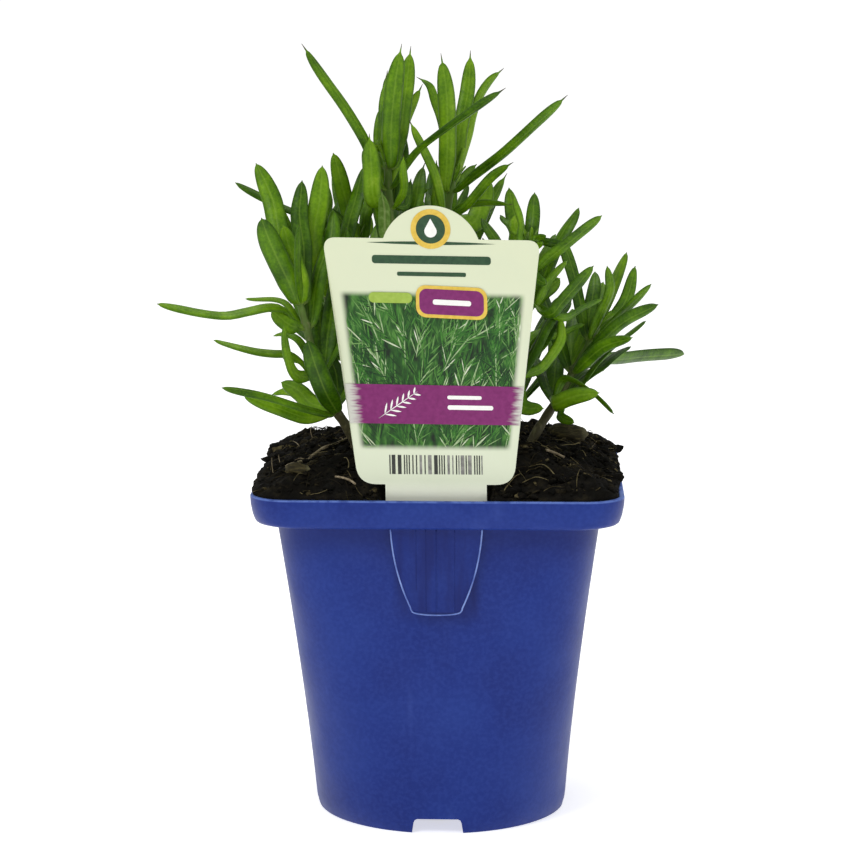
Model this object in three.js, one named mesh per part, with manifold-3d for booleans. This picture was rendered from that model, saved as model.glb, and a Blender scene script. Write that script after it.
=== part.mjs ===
// A potted rosemary: a square plastic nursery pot with potting mix, a push-in plant label and
// ten leafy sprigs. Millimetres, +Z up. The origin is on the pot's axis, in the plane it stands
// on. The label is at the front, towards -Y.
import * as THREE from "three";
import { mergeVertices } from "three/addons/utils/BufferGeometryUtils.js";
import Module from "manifold-3d";

const wasm = await Module();
wasm.setup();

// ---------------------------------------------------------------- sizes
const CLEARANCE = 0.3; // between pieces that touch

const POT_HEIGHT = 95;
const RIM_WIDTH = 100; // outside, at the top edge
const RIM_CORNER_RADIUS = 11;
const RIM_BAND_HEIGHT = 8;
const RIM_BAND_TAPER = 1.5; // the band's lower edge lies this far inside its top edge
const RIM_THICKNESS = 1.5;
const LEDGE_WIDTH = 6.25; // how far the rim stands out over the wall
const WALL_TOP_WIDTH = RIM_WIDTH - 2 * LEDGE_WIDTH; // outside, right under the rim's ledge
const WALL_TOP_CORNER_RADIUS = 14.3;
const WALL_THICKNESS = 1.2;
const WALL_FLARE = 1.32; // the wall's width grows with this power of the height
const WALL_SQUARING = 0.6; // and its corner radius shrinks with this one
const BASE_DIAMETER = 70;
const FOOT_WIDTH = 2;
const FLOOR_LIFT = 3.6; // the floor's underside above the foot
const NOTCH_WIDTH = 13.5;
const NOTCH_HEIGHT = 4.2;
const NOTCH_COUNT = 4;
const DRAIN_HOLE_DIAMETER = 6;
const DRAIN_CIRCLE_DIAMETER = 42;
const DRAIN_HOLE_COUNT = 6;

const SOIL_BELOW_RIM = 0.6; // the mix's edge below the pot's top edge
const SOIL_MOUND = 10; // how far the mound rises above its own edge

const LABEL_THICKNESS = 0.5;
const LABEL_BODY_BOTTOM = POT_HEIGHT + 3.8;
const LABEL_BODY_TOP = POT_HEIGHT + 69.4;
const LABEL_TOP_WIDTH = 56.4;
const LABEL_BOTTOM_WIDTH = 41;
const LABEL_TOP_CORNER = 3.2;
const LABEL_BOTTOM_CORNER = 4.8;
const LABEL_HEAD_RADIUS = 13.2;
const LABEL_HEAD_RISE = 8.7;
const LABEL_STEM_WIDTH = 26.8;
const LABEL_FOOT_WIDTH = 9;
const LABEL_OFF_WALL = 1.25; // its middle plane stands this far off the wall's top
const LABEL_Y_AT_RIM = -WALL_TOP_WIDTH / 2 - LABEL_OFF_WALL; // at the pot's top edge
const LABEL_OFF_WALL_LOW = 1.0856; // and this far off the wall at the pocket's bottom
const LABEL_TWIST = 0.14; // the right side's way forward per millimetre, above the mix
const LABEL_TWIST_HEIGHT = 45; // the twist builds up over this height
const LABEL_SHIFT = -0.018; // sideways per millimetre of height

const POCKET_HEIGHT = 23.2;
const POCKET_TOP_WIDTH = 24.4;
const POCKET_BOTTOM_WIDTH = 12.6;

const LEAF_THICKNESS = 0.9;
const LEAF_STEPS = 4;
const COLLAR_THICKNESS = 1.2; // the joined leaf bases around the stem
const COLLAR_HEIGHT = 2.4;
const LEAF_ROOT_DEPTH = 0.75; // where in the collar a leaf begins, from its inside
const STEM_TAPER = 0.4; // the share of its radius that a stem loses towards its tip
const STEM_SIDES = 6;
const STEM_STEPS = 8;

// ---------------------------------------------------------------- solids
// A geometry as a solid: only its positions are kept, and shared corners are merged.
function solidOf(geometry) {
  const bare = geometry.clone();
  bare.deleteAttribute("normal");
  bare.deleteAttribute("uv");
  const merged = mergeVertices(bare, 1e-4);
  return new wasm.Manifold(
    new wasm.Mesh({
      numProp: 3,
      vertProperties: new Float32Array(merged.attributes.position.array),
      triVerts: new Uint32Array(merged.index.array),
    }),
  );
}

function geometryOf(solid) {
  const mesh = solid.getMesh();
  const geometry = new THREE.BufferGeometry();
  geometry.setAttribute("position", new THREE.BufferAttribute(mesh.vertProperties, 3));
  geometry.setIndex(new THREE.BufferAttribute(mesh.triVerts, 1));
  return geometry;
}

const joined = (solids) => solids.reduce((sum, solid) => sum.add(solid));

// The largest body of a solid, without the crumbs that a cut leaves.
function mainBody(solid) {
  return solid.decompose().reduce((best, body) => (body.volume() > best.volume() ? body : best));
}

// Moves each vertex of a geometry to where the function says.
function reshape(geometry, move) {
  const position = geometry.attributes.position;
  const point = new THREE.Vector3();
  for (let i = 0; i < position.count; i++) {
    point.fromBufferAttribute(position, i);
    move(point, i);
    position.setXYZ(i, point.x, point.y, point.z);
  }
  return geometry;
}

// ---------------------------------------------------------------- pot
const CORNER_POINTS = 6;
const HALF_STEP = Math.PI / 4 / CORNER_POINTS;

// The corner points of a rounded square, counted from +X towards +Y.
function squarePoint(column, half, radius) {
  const quadrant = Math.floor(column / CORNER_POINTS) % 4;
  const angle = HALF_STEP * (2 * (column % CORNER_POINTS) + 1) + (quadrant * Math.PI) / 2;
  const inset = half - radius * Math.cos(HALF_STEP);
  const signX = quadrant === 0 || quadrant === 3 ? 1 : -1;
  const signY = quadrant < 2 ? 1 : -1;
  return [signX * inset + radius * Math.cos(angle), signY * inset + radius * Math.sin(angle)];
}

// A turned profile whose rings are rounded squares. Each row is [half width, z, corner radius].
function squareLathe(rows) {
  const profile = rows.map(([half, z]) => new THREE.Vector2(half, z));
  const geometry = new THREE.LatheGeometry(profile, 4 * CORNER_POINTS);
  return reshape(geometry, (point, index) => {
    const [half, z, radius] = rows[index % rows.length];
    const column = Math.floor(index / rows.length) % (4 * CORNER_POINTS);
    const [x, y] = half === 0 ? [0, 0] : squarePoint(column, half, radius);
    point.set(x, y, z);
  });
}

const LEDGE_Z = POT_HEIGHT - RIM_BAND_HEIGHT;

// The wall's outside at a height, moved inwards by an inset, as a lathe row.
function wallRow(z, inset) {
  const rise = z / LEDGE_Z;
  const base = BASE_DIAMETER / 2;
  const half = base + (WALL_TOP_WIDTH / 2 - base) * rise ** WALL_FLARE;
  const radius = base + (WALL_TOP_CORNER_RADIUS - base) * rise ** WALL_SQUARING;
  return [half - inset, z, Math.min(radius, half) - inset];
}

function rimRow(z, inset) {
  const drop = (POT_HEIGHT - z) / RIM_BAND_HEIGHT;
  const half = RIM_WIDTH / 2 - RIM_BAND_TAPER * drop ** 2 - inset;
  return [half, z, RIM_CORNER_RADIUS - inset];
}

const WALL_HEIGHTS = [18, 40, 65];
const FLOOR_TOP = FLOOR_LIFT + WALL_THICKNESS;
const RIM_EDGE = 0.35; // the rounding of the rim's top edge
const BAND_EDGE = 0.9; // and of its lower edge

function potBody() {
  const foot = BASE_DIAMETER / 2;
  const footInside = foot - FOOT_WIDTH;
  return squareLathe([
    [0, FLOOR_LIFT, 0],
    [footInside - 0.6, FLOOR_LIFT, footInside - 0.6],
    [footInside, 0, footInside],
    [foot - 0.4, 0, foot - 0.4],
    wallRow(0.8, 0),
    ...WALL_HEIGHTS.map((z) => wallRow(z, 0)),
    wallRow(LEDGE_Z, 0),
    rimRow(LEDGE_Z, BAND_EDGE),
    rimRow(LEDGE_Z + BAND_EDGE, 0),
    rimRow(POT_HEIGHT - RIM_EDGE, 0),
    rimRow(POT_HEIGHT, RIM_EDGE),
    rimRow(POT_HEIGHT, RIM_THICKNESS),
    rimRow(LEDGE_Z + WALL_THICKNESS + 0.2, RIM_THICKNESS),
    [wallRow(LEDGE_Z, WALL_THICKNESS)[0], LEDGE_Z + WALL_THICKNESS, WALL_TOP_CORNER_RADIUS],
    ...WALL_HEIGHTS.toReversed().map((z) => wallRow(z, WALL_THICKNESS)),
    wallRow(FLOOR_TOP, WALL_THICKNESS),
    [0, FLOOR_TOP, 0],
  ]);
}

const POCKET_TOP = LEDGE_Z + 0.5;
const POCKET_BOTTOM = LEDGE_Z - POCKET_HEIGHT;

// The label leans forward with the wall behind it, by this much per millimetre of height.
const LABEL_Y_AT_POCKET_BOTTOM = -wallRow(POCKET_BOTTOM, 0)[0] - LABEL_OFF_WALL_LOW;
const LABEL_LEAN = (LABEL_Y_AT_POCKET_BOTTOM - LABEL_Y_AT_RIM) / (POT_HEIGHT - POCKET_BOTTOM);

// The label's middle plane: how far forward it stands at a place of its own outline.
function labelY(x, z) {
  const twist = LABEL_TWIST * THREE.MathUtils.smoothstep(z - POT_HEIGHT, 0, LABEL_TWIST_HEIGHT);
  return LABEL_Y_AT_RIM - LABEL_LEAN * (z - POT_HEIGHT) - twist * x;
}

// A flat outline in x and z, given a thickness and laid along the label's plane. Depths are
// measured from that plane towards the back.
function panel(shape, front, back) {
  const options = { depth: back - front, bevelEnabled: false, curveSegments: 6 };
  return reshape(new THREE.ExtrudeGeometry(shape, options), (point) => {
    const shift = LABEL_SHIFT * Math.max(0, point.y - POT_HEIGHT);
    const depth = back - point.z;
    point.set(point.x + shift, labelY(point.x, point.y) + depth, point.y);
  });
}

// The shield outline of the label pocket and of the label's foot.
function shieldShape(topWidth, bottomWidth, top, bottom) {
  const bulge = bottom + (top - bottom) * 0.45;
  const shape = new THREE.Shape();
  shape.moveTo(-bottomWidth / 2, bottom);
  shape.lineTo(bottomWidth / 2, bottom);
  shape.quadraticCurveTo(topWidth / 2 - 0.6, bulge, topWidth / 2, top);
  shape.lineTo(-topWidth / 2, top);
  shape.quadraticCurveTo(-topWidth / 2 + 0.6, bulge, -bottomWidth / 2, bottom);
  return shape;
}

const POCKET_INNER_FACE = -LABEL_THICKNESS / 2 - CLEARANCE; // from the label's middle plane
const POCKET_ROOT = 1.4; // how far back the shell reaches, into the pot's wall
const POCKET_REACH = 4.2; // how far back the hollow reaches, through the wall

function pocketShell() {
  const shield = shieldShape(POCKET_TOP_WIDTH, POCKET_BOTTOM_WIDTH, POCKET_TOP, POCKET_BOTTOM);
  return solidOf(panel(shield, POCKET_INNER_FACE - WALL_THICKNESS, POCKET_ROOT));
}

function pocketHollow() {
  const shield = shieldShape(
    POCKET_TOP_WIDTH - 2 * WALL_THICKNESS,
    POCKET_BOTTOM_WIDTH - 2 * WALL_THICKNESS,
    POCKET_TOP + WALL_THICKNESS + 1,
    POCKET_BOTTOM + WALL_THICKNESS,
  );
  return solidOf(panel(shield, POCKET_INNER_FACE, POCKET_REACH));
}

function drainNotch(turn) {
  const shape = new THREE.Shape();
  shape.moveTo(-NOTCH_WIDTH / 2 - 0.4, -1);
  shape.lineTo(NOTCH_WIDTH / 2 + 0.4, -1);
  shape.lineTo(NOTCH_WIDTH / 2 - 0.3, NOTCH_HEIGHT - 0.6);
  shape.lineTo(NOTCH_WIDTH / 2 - 1.1, NOTCH_HEIGHT);
  shape.lineTo(-NOTCH_WIDTH / 2 + 1.1, NOTCH_HEIGHT);
  shape.lineTo(-NOTCH_WIDTH / 2 + 0.3, NOTCH_HEIGHT - 0.6);
  const geometry = new THREE.ExtrudeGeometry(shape, { depth: 12, bevelEnabled: false });
  geometry.rotateX(Math.PI / 2);
  geometry.translate(0, -BASE_DIAMETER / 2 + 8, 0);
  geometry.rotateZ(turn);
  return solidOf(geometry);
}

function drainHole(turn) {
  const geometry = new THREE.CylinderGeometry(
    DRAIN_HOLE_DIAMETER / 2,
    DRAIN_HOLE_DIAMETER / 2,
    3 * WALL_THICKNESS,
    8,
  );
  geometry.rotateX(Math.PI / 2);
  geometry.translate(DRAIN_CIRCLE_DIAMETER / 2, 0, FLOOR_LIFT + WALL_THICKNESS / 2);
  geometry.rotateZ(turn);
  return solidOf(geometry);
}

function potSolid() {
  const cuts = [pocketHollow()];
  for (let i = 0; i < NOTCH_COUNT; i++) cuts.push(drainNotch((i * 2 * Math.PI) / NOTCH_COUNT));
  for (let i = 0; i < DRAIN_HOLE_COUNT; i++) {
    cuts.push(drainHole(((i + 0.5) * 2 * Math.PI) / DRAIN_HOLE_COUNT));
  }
  return solidOf(potBody()).add(pocketShell()).subtract(joined(cuts));
}

// ---------------------------------------------------------------- plant label
function labelShape(grow) {
  const topHalf = LABEL_TOP_WIDTH / 2 + grow;
  const bottomHalf = LABEL_BOTTOM_WIDTH / 2 + grow;
  const stemHalf = LABEL_STEM_WIDTH / 2 + grow;
  const footHalf = LABEL_FOOT_WIDTH / 2 + grow;
  const pocketHalf = POCKET_TOP_WIDTH / 2 - WALL_THICKNESS - CLEARANCE - 1 + grow;
  const top = LABEL_BODY_TOP + grow;
  const bottom = LABEL_BODY_BOTTOM - grow;
  const foot = POCKET_BOTTOM + WALL_THICKNESS + CLEARANCE + 0.6 - grow;
  const mouth = LEDGE_Z + WALL_THICKNESS + CLEARANCE; // where it comes out of the pocket
  const headRadius = LABEL_HEAD_RADIUS + grow;
  const headCentre = LABEL_BODY_TOP + LABEL_HEAD_RISE - LABEL_HEAD_RADIUS;
  const headAngle = Math.asin((top - headCentre) / headRadius);
  const shape = new THREE.Shape();
  shape.moveTo(footHalf, foot);
  shape.quadraticCurveTo(pocketHalf - 0.5, foot + 9, pocketHalf, mouth);
  shape.lineTo(stemHalf, POT_HEIGHT - 2);
  shape.lineTo(stemHalf, bottom);
  shape.lineTo(bottomHalf - LABEL_BOTTOM_CORNER, bottom);
  shape.quadraticCurveTo(bottomHalf, bottom, bottomHalf + 0.6, bottom + LABEL_BOTTOM_CORNER);
  shape.lineTo(topHalf - 0.2, top - LABEL_TOP_CORNER);
  shape.quadraticCurveTo(topHalf, top, topHalf - LABEL_TOP_CORNER, top);
  shape.absarc(0, headCentre, headRadius, headAngle, Math.PI - headAngle, false);
  shape.lineTo(LABEL_TOP_CORNER - topHalf, top);
  shape.quadraticCurveTo(-topHalf, top, 0.2 - topHalf, top - LABEL_TOP_CORNER);
  shape.lineTo(-bottomHalf - 0.6, bottom + LABEL_BOTTOM_CORNER);
  shape.quadraticCurveTo(-bottomHalf, bottom, LABEL_BOTTOM_CORNER - bottomHalf, bottom);
  shape.lineTo(-stemHalf, bottom);
  shape.lineTo(-stemHalf, POT_HEIGHT - 2);
  shape.lineTo(-pocketHalf, mouth);
  shape.quadraticCurveTo(0.5 - pocketHalf, foot + 9, -footHalf, foot);
  return shape;
}

function labelSolid(grow) {
  const half = LABEL_THICKNESS / 2 + grow;
  return solidOf(panel(labelShape(grow), -half, half));
}

// ---------------------------------------------------------------- potting mix
// Fixed unevenness of the mix's surface, in millimetres.
function lumps(x, y) {
  const broad = Math.sin(x * 0.17 + 0.8) * Math.cos(y * 0.13 - 0.4);
  return 0.9 * broad + 0.5 * Math.sin(x * 0.41 - y * 0.37 + 1.9);
}

// The height of the mix's surface.
function soilZ(x, y) {
  const half = RIM_WIDTH / 2;
  const fall = Math.max(Math.abs(x), Math.abs(y)) / half;
  const edge = POT_HEIGHT - SOIL_BELOW_RIM;
  const cover = 1 - Math.min(1, fall) ** 3;
  return edge + SOIL_MOUND * cover + lumps(x, y) * Math.min(1, 3 * cover);
}

function soilSolid() {
  const inset = WALL_THICKNESS + CLEARANCE;
  const bottom = FLOOR_TOP + CLEARANCE;
  const ledge = LEDGE_Z + WALL_THICKNESS + 0.2 + CLEARANCE;
  const rimInset = RIM_THICKNESS + CLEARANCE;
  const edge = rimRow(POT_HEIGHT - SOIL_BELOW_RIM, rimInset);
  const mound = [0.9, 0.75, 0.55, 0.28].map((share) => {
    return [edge[0] * share, 0, edge[0] * share * (0.24 + 0.7 * (1 - share))];
  });
  const rows = [
    [0, bottom, 0],
    wallRow(bottom, inset),
    ...WALL_HEIGHTS.map((z) => wallRow(z, inset)),
    [wallRow(LEDGE_Z, inset)[0], ledge, WALL_TOP_CORNER_RADIUS],
    rimRow(ledge + 0.1, rimInset),
    edge,
    ...mound,
    [0, 0, 0],
  ];
  const firstMoundRow = rows.length - mound.length - 1;
  const geometry = squareLathe(rows);
  reshape(geometry, (point, index) => {
    if (index % rows.length >= firstMoundRow) point.z = soilZ(point.x, point.y);
  });
  return solidOf(geometry);
}

// ---------------------------------------------------------------- setting out
// Stems and leaves are set out on a front elevation, drawn in perspective from one eye point.
// A spot of it is [x, z, y]: x and z on the plane y = 0, and the depth y where the spot lies.
// It is drawn for one pot: the plants rise with a taller pot, and spread with a wider one.
const EYE = new THREE.Vector3(25.2, -799.6, 231.2);
const DRAWN_POT_HEIGHT = 95;
const DRAWN_RIM_WIDTH = 100;
const SPREAD = RIM_WIDTH / DRAWN_RIM_WIDTH;

function spot([x, z, y]) {
  const drawn = new THREE.Vector3(x, 0, z).sub(EYE).multiplyScalar(1 - y / EYE.y).add(EYE);
  const rise = POT_HEIGHT - DRAWN_POT_HEIGHT;
  return new THREE.Vector3(drawn.x * SPREAD, drawn.y * SPREAD, drawn.z + rise);
}

const leaf = (width, turn, ...spots) => ({ width, turn, spots });

// Leaves that fan out from a stem by rule: between two bearings in degrees, 0 towards +X and
// 90 towards the back.
function fan(count, from, to, length, rise, width) {
  return { count, from, to, length, rise, width };
}

const SPRIGS = [
  {
    name: "left",
    radius: 1.5,
    stem: [
      [-20, 92, -16], [-26, 106, -21], [-31, 114, -25], [-35, 125, -28],
      [-38.5, 138, -29], [-40, 144, -29],
    ],
    whorls: [
      {
        at: 0.36,
        leaves: [
          leaf(4, 15, [-38, 109.6, -30], [-44.5, 111.6, -34], [-55.6, 115.8, -38]),
          leaf(3.6, 58, [-37, 112, -34], [-50.4, 116, -42], [-61.6, 117.9, -46]),
          leaf(4.2, 10, [-36.3, 113.5, -20], [-40.3, 117.3, -17], [-45, 119.6, -14]),
          leaf(2.4, 25, [-37, 114.5, -12], [-43, 117.2, -8], [-47.5, 116, -6]),
          leaf(5, 0, [-32.5, 117, -33], [-35.5, 125, -36], [-37.5, 131.5, -37]),
          fan(2, 40, 100, 34, 50, 4),
        ],
      },
      {
        at: 0.56,
        leaves: [
          leaf(3.4, 68, [-41, 127.2, -28], [-50, 128.2, -30], [-63.7, 131.3, -30]),
          leaf(3, 45, [-40.6, 121.5, -36], [-43.2, 128.5, -40], [-44, 135.5, -42]),
          leaf(2.2, 40, [-40, 131.6, -22], [-44, 133.2, -20], [-47, 132.5, -19]),
          fan(3, 10, 110, 34, 56, 4),
        ],
      },
      {
        at: 0.76,
        leaves: [
          leaf(
            3.4, 60,
            [-43, 139.6, -32], [-49, 140.7, -38], [-60, 138.4, -44], [-79.4, 141.4, -52],
          ),
          leaf(3.6, 15, [-42, 135.4, -33], [-47.5, 139.5, -36]),
          leaf(2.6, 65, [-44, 142.3, -22], [-54.7, 142.9, -18]),
          fan(2, 40, 120, 30, 60, 3.8),
        ],
      },
      {
        at: 0.95,
        leaves: [
          leaf(5.4, 5, [-42.5, 155, -26], [-47, 171, -22], [-51.4, 180.6, -19]),
          leaf(5, 0, [-43.6, 150.5, -34], [-48, 159.5, -38], [-50, 165.5, -40]),
          leaf(4.6, 10, [-40.6, 150, -31], [-42.6, 158, -32], [-44, 163.5, -33]),
          leaf(2.4, 55, [-39.8, 152, -37], [-39.5, 163.5, -40]),
          fan(2, 60, 140, 26, 64, 3.6),
        ],
      },
    ],
  },
  {
    name: "left_upper",
    radius: 1.4,
    stem: [
      [-12, 92, -6], [-18, 107, -9], [-25, 123, -12],
      [-30.5, 138, -13], [-33, 151, -13], [-33.5, 160, -12],
    ],
    whorls: [
      {
        at: 0.45,
        leaves: [
          leaf(3.6, 20, [-33, 131, -6], [-39, 141, 0], [-42, 148, 4]),
          fan(4, 20, 170, 34, 52, 4),
        ],
      },
      {
        at: 0.7,
        leaves: [
          leaf(4.8, 5, [-33.6, 152, -19], [-34, 166, -21], [-33, 180, -20]),
          leaf(3.6, 20, [-36, 150, -8], [-44, 163, -4]),
          fan(3, 30, 130, 32, 58, 4),
        ],
      },
      {
        at: 0.93,
        leaves: [
          leaf(3, 60, [-36.3, 164.3, -14], [-46, 169.5, -15], [-57.2, 175.2, -16]),
          leaf(2.6, 58, [-36.5, 158.8, -8], [-44, 165, -5]),
          leaf(2.6, 40, [-32.5, 166, -10], [-30.5, 172, -8]),
          fan(2, 60, 150, 20, 62, 3),
        ],
      },
    ],
  },
  {
    name: "inner_left",
    radius: 1.3,
    stem: [[-8, 92, 6], [-11, 108, 7], [-17, 128, 6], [-21.5, 146, 3], [-23.5, 159, 1]],
    whorls: [
      { at: 0.4, leaves: [fan(5, 50, 190, 36, 48, 4)] },
      { at: 0.66, leaves: [fan(5, 40, 200, 34, 54, 4)] },
      {
        at: 0.95,
        leaves: [
          leaf(4, 15, [-26, 169, -3], [-30, 183.5, -6]),
          leaf(2.6, 62, [-24.4, 165, 2], [-25.6, 172, 5]),
          leaf(2.6, 30, [-27, 162, -2], [-30.5, 168.5, -4]),
          leaf(2.8, 20, [-21.4, 164, 6], [-22.2, 170.7, 9]),
          fan(2, 60, 120, 22, 58, 3),
        ],
      },
    ],
  },
  {
    name: "tall_left",
    radius: 1.6,
    stem: [
      [-4, 92, -10], [-6, 108, -10], [-10, 132, -9],
      [-13.5, 156, -8], [-14.6, 170, -7], [-15, 181, -7],
    ],
    whorls: [
      { at: 0.36, leaves: [fan(3, 60, 120, 32, 46, 4), fan(2, 240, 300, 24, 50, 3.6)] },
      { at: 0.56, leaves: [fan(3, 50, 130, 32, 52, 4), fan(2, 235, 305, 24, 58, 3.6)] },
      {
        at: 0.78,
        leaves: [
          leaf(5, 5, [-18.6, 170, -12], [-19.5, 180, -14], [-20, 188.8, -15]),
          leaf(2.4, 30, [-9.8, 169, -4], [-8.5, 176.5, -1]),
          leaf(2.4, 20, [-10.5, 173, -11], [-10.3, 183, -13]),
          leaf(2.4, 35, [-10, 169, 1], [-7, 172, 4], [-2.5, 174, 7]),
          fan(2, 60, 120, 26, 60, 3.6),
        ],
      },
      {
        at: 0.88,
        leaves: [
          leaf(4, 50, [-20, 185, -11], [-26, 195.5, -13], [-32, 204, -14], [-38.5, 213.3, -15]),
          leaf(3.2, 10, [-16.5, 184, -3], [-17, 197, 1]),
          leaf(3, 35, [-12, 185, -3], [-9.5, 193, 0], [-5.3, 202.3, 3]),
          leaf(3.4, 62, [-8, 182.5, -13], [-2, 187.5, -17], [6, 193.2, -21], [17.5, 201.3, -25]),
          leaf(2.6, 30, [-15.4, 192, 3], [-15, 206, 8]),
          fan(1, 80, 100, 24, 66, 3.4),
        ],
      },
      {
        at: 0.985,
        leaves: [
          leaf(5, 5, [-14, 190, -10], [-12.8, 203, -12], [-11, 213.3, -12]),
          leaf(4.6, 12, [-12, 190, -5], [-9.8, 202, -2], [-8.5, 212.7, 0]),
          leaf(2.4, 20, [-15.6, 188, -7], [-15.2, 194, -8]),
        ],
      },
    ],
  },
  {
    name: "tall_right",
    radius: 1.6,
    stem: [[5, 92, 2], [4, 108, 3], [2, 130, 4], [0.8, 152, 5], [1.4, 166, 5], [3, 176, 5]],
    whorls: [
      { at: 0.36, leaves: [fan(4, 30, 140, 34, 46, 4), fan(1, 250, 290, 22, 50, 3.4)] },
      { at: 0.58, leaves: [fan(4, 40, 150, 32, 52, 4), fan(1, 250, 290, 24, 55, 3.4)] },
      {
        at: 0.8,
        leaves: [
          leaf(3, 58, [5, 168.3, 2], [11, 169.6, -1], [19.4, 169.3, -4]),
          leaf(2.8, 30, [7, 169, -3], [14, 177, -8], [19.7, 181, -11]),
          leaf(5.6, 5, [8, 164, 12], [12, 172, 16], [13, 178, 18]),
          leaf(3, 25, [10, 165, 20], [18, 178, 26]),
          leaf(2.8, 30, [0, 170, 0], [-2, 178, -4], [-9, 192.5, -9]),
          leaf(2.6, 35, [-1.5, 171, 6], [-1.5, 181.5, 9]),
        ],
      },
      {
        at: 0.95,
        leaves: [
          leaf(4.8, 5, [1.6, 188, 1], [1.2, 200, -2], [-0.3, 210.7, -3]),
          leaf(4.2, 5, [5.6, 190, 9], [7.4, 203, 13], [7.8, 211.5, 14]),
          leaf(2.8, 40, [0.4, 190, 8], [-1.8, 197.5, 11], [-4, 203, 12], [-7, 204.3, 13]),
          leaf(3, 48, [6.4, 185, 9], [9, 195.5, 14], [12.3, 202, 17], [17, 206.7, 19]),
          leaf(3.6, 48, [9, 177.2, 0], [17, 183.4, -6], [25, 190.7, -11], [34.5, 199.4, -15]),
          leaf(2.2, 30, [6, 177, 10], [9.7, 180.5, 13]),
        ],
      },
    ],
  },
  {
    name: "right_upper",
    radius: 1.4,
    stem: [
      [12, 92, -12], [15, 106, -12], [20, 122, -12],
      [23.5, 138, -11], [24.5, 150, -11], [24, 158, -11],
    ],
    whorls: [
      {
        at: 0.4,
        leaves: [
          leaf(2.6, 25, [28, 124, -8], [32, 131, -5], [32.5, 139, -3]),
          leaf(2.6, 62, [26, 130, -4], [32, 133, 0], [40, 136, 4]),
          leaf(3.6, 8, [22.5, 113.2, -20], [28.5, 112.5, -23]),
          fan(5, 10, 130, 30, 40, 4),
        ],
      },
      {
        at: 0.66,
        leaves: [
          leaf(3.2, 35, [29, 138.2, -15], [34.5, 143.8, -18], [42, 152.5, -21]),
          leaf(4, 8, [28, 145, -6], [32.8, 149, -3]),
          leaf(2.4, 50, [33, 137.6, -8], [40, 141, -7], [44.5, 143.2, -6]),
          leaf(2.4, 45, [29, 147, -12], [34.7, 153.9, -14]),
          fan(4, 20, 150, 28, 48, 3.8),
        ],
      },
      {
        at: 0.84,
        leaves: [
          leaf(3.2, 38, [27.5, 152.8, -12], [35.3, 159.1, -14], [44.2, 166.4, -16]),
          leaf(2.4, 20, [26.2, 149, -17], [29, 147.2, -21]),
          fan(2, 60, 160, 24, 58, 3.4),
        ],
      },
      {
        at: 0.975,
        leaves: [
          leaf(2.4, 35, [27, 158.6, -9], [34, 157.8, -6]),
          leaf(2, 20, [25.4, 159.4, -13], [28.8, 160.8, -16]),
          leaf(2.4, 50, [22, 165, -13], [19.7, 171.4, -14]),
          leaf(3, 15, [21.5, 161.5, -8], [20.3, 166.5, -7]),
        ],
      },
    ],
  },
  {
    name: "right_low",
    radius: 1.4,
    stem: [[20, 92, 0], [26, 105, 3], [31.5, 114, 5], [36, 122, 6], [40, 129, 7], [43.5, 136, 8]],
    whorls: [
      {
        at: 0.42,
        leaves: [
          leaf(4, 8, [31, 113.6, -4], [37, 116, -8], [44, 117, -10]),
          leaf(2.8, 60, [34, 120.8, 0], [40, 118.3, -4], [45, 114, -7], [48, 111, -8]),
          leaf(2.4, 25, [33, 110.4, 0], [37, 108.5, -3]),
          fan(5, -10, 130, 30, 34, 4),
        ],
      },
      {
        at: 0.64,
        leaves: [
          leaf(3.8, 45, [43, 124.8, 16], [54, 127, 35], [67.4, 128, 54.5]),
          leaf(3.4, 20, [40.6, 126.4, 0], [45.4, 130.2, -4], [53, 132.5, -8]),
          leaf(3.4, 25, [42, 128.5, 2], [50, 136.6, -2], [60, 141.8, -5]),
          fan(4, 20, 140, 30, 44, 4),
        ],
      },
      {
        at: 0.9,
        leaves: [
          leaf(3.2, 20, [46.6, 137, 12], [51, 143, 16], [53.5, 152.5, 19]),
          leaf(2.6, 50, [46, 135.4, 4], [52, 141.2, 0], [58, 147.5, -3]),
          leaf(2.8, 35, [44.6, 140, 5], [46.8, 146, 3], [45.7, 152.5, 2]),
          fan(2, 70, 150, 26, 56, 3.6),
        ],
      },
    ],
  },
  {
    name: "back_left",
    radius: 1.4,
    stem: [[-14, 92, 20], [-17, 106, 23], [-20, 120, 26], [-20, 136, 28]],
    whorls: [
      { at: 0.5, leaves: [fan(5, 60, 200, 36, 40, 4.2)] },
      { at: 0.75, leaves: [fan(5, 50, 170, 34, 48, 4.2)] },
      { at: 0.97, leaves: [fan(5, 20, 200, 26, 60, 3.8)] },
    ],
  },
  {
    name: "back_middle",
    radius: 1.4,
    stem: [[2, 92, 18], [2, 106, 20], [1, 124, 24], [-1, 142, 27], [-2, 152, 28]],
    whorls: [
      { at: 0.42, leaves: [fan(5, 30, 150, 38, 42, 4.2)] },
      { at: 0.7, leaves: [fan(5, 10, 170, 34, 50, 4.2)] },
      { at: 0.97, leaves: [fan(5, 20, 160, 26, 62, 3.8)] },
    ],
  },
  {
    name: "back_right",
    radius: 1.4,
    stem: [[14, 92, 22], [17, 106, 25], [19, 120, 28], [19, 134, 30]],
    whorls: [
      { at: 0.5, leaves: [fan(5, -20, 120, 34, 40, 4.2)] },
      { at: 0.76, leaves: [fan(5, 10, 130, 32, 48, 4.2)] },
      { at: 0.97, leaves: [fan(4, 0, 160, 24, 60, 3.8)] },
    ],
  },
];

// ---------------------------------------------------------------- leaves and stems
const GOLDEN = 0.618034;
const LEAF_SAMPLES = 8;
const UP = new THREE.Vector3(0, 0, 1);
const TO_FRONT = new THREE.Vector3(0, -1, 0.15).normalize();

const curveThrough = (points) => new THREE.CatmullRomCurve3(points, false, "centripetal");

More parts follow.
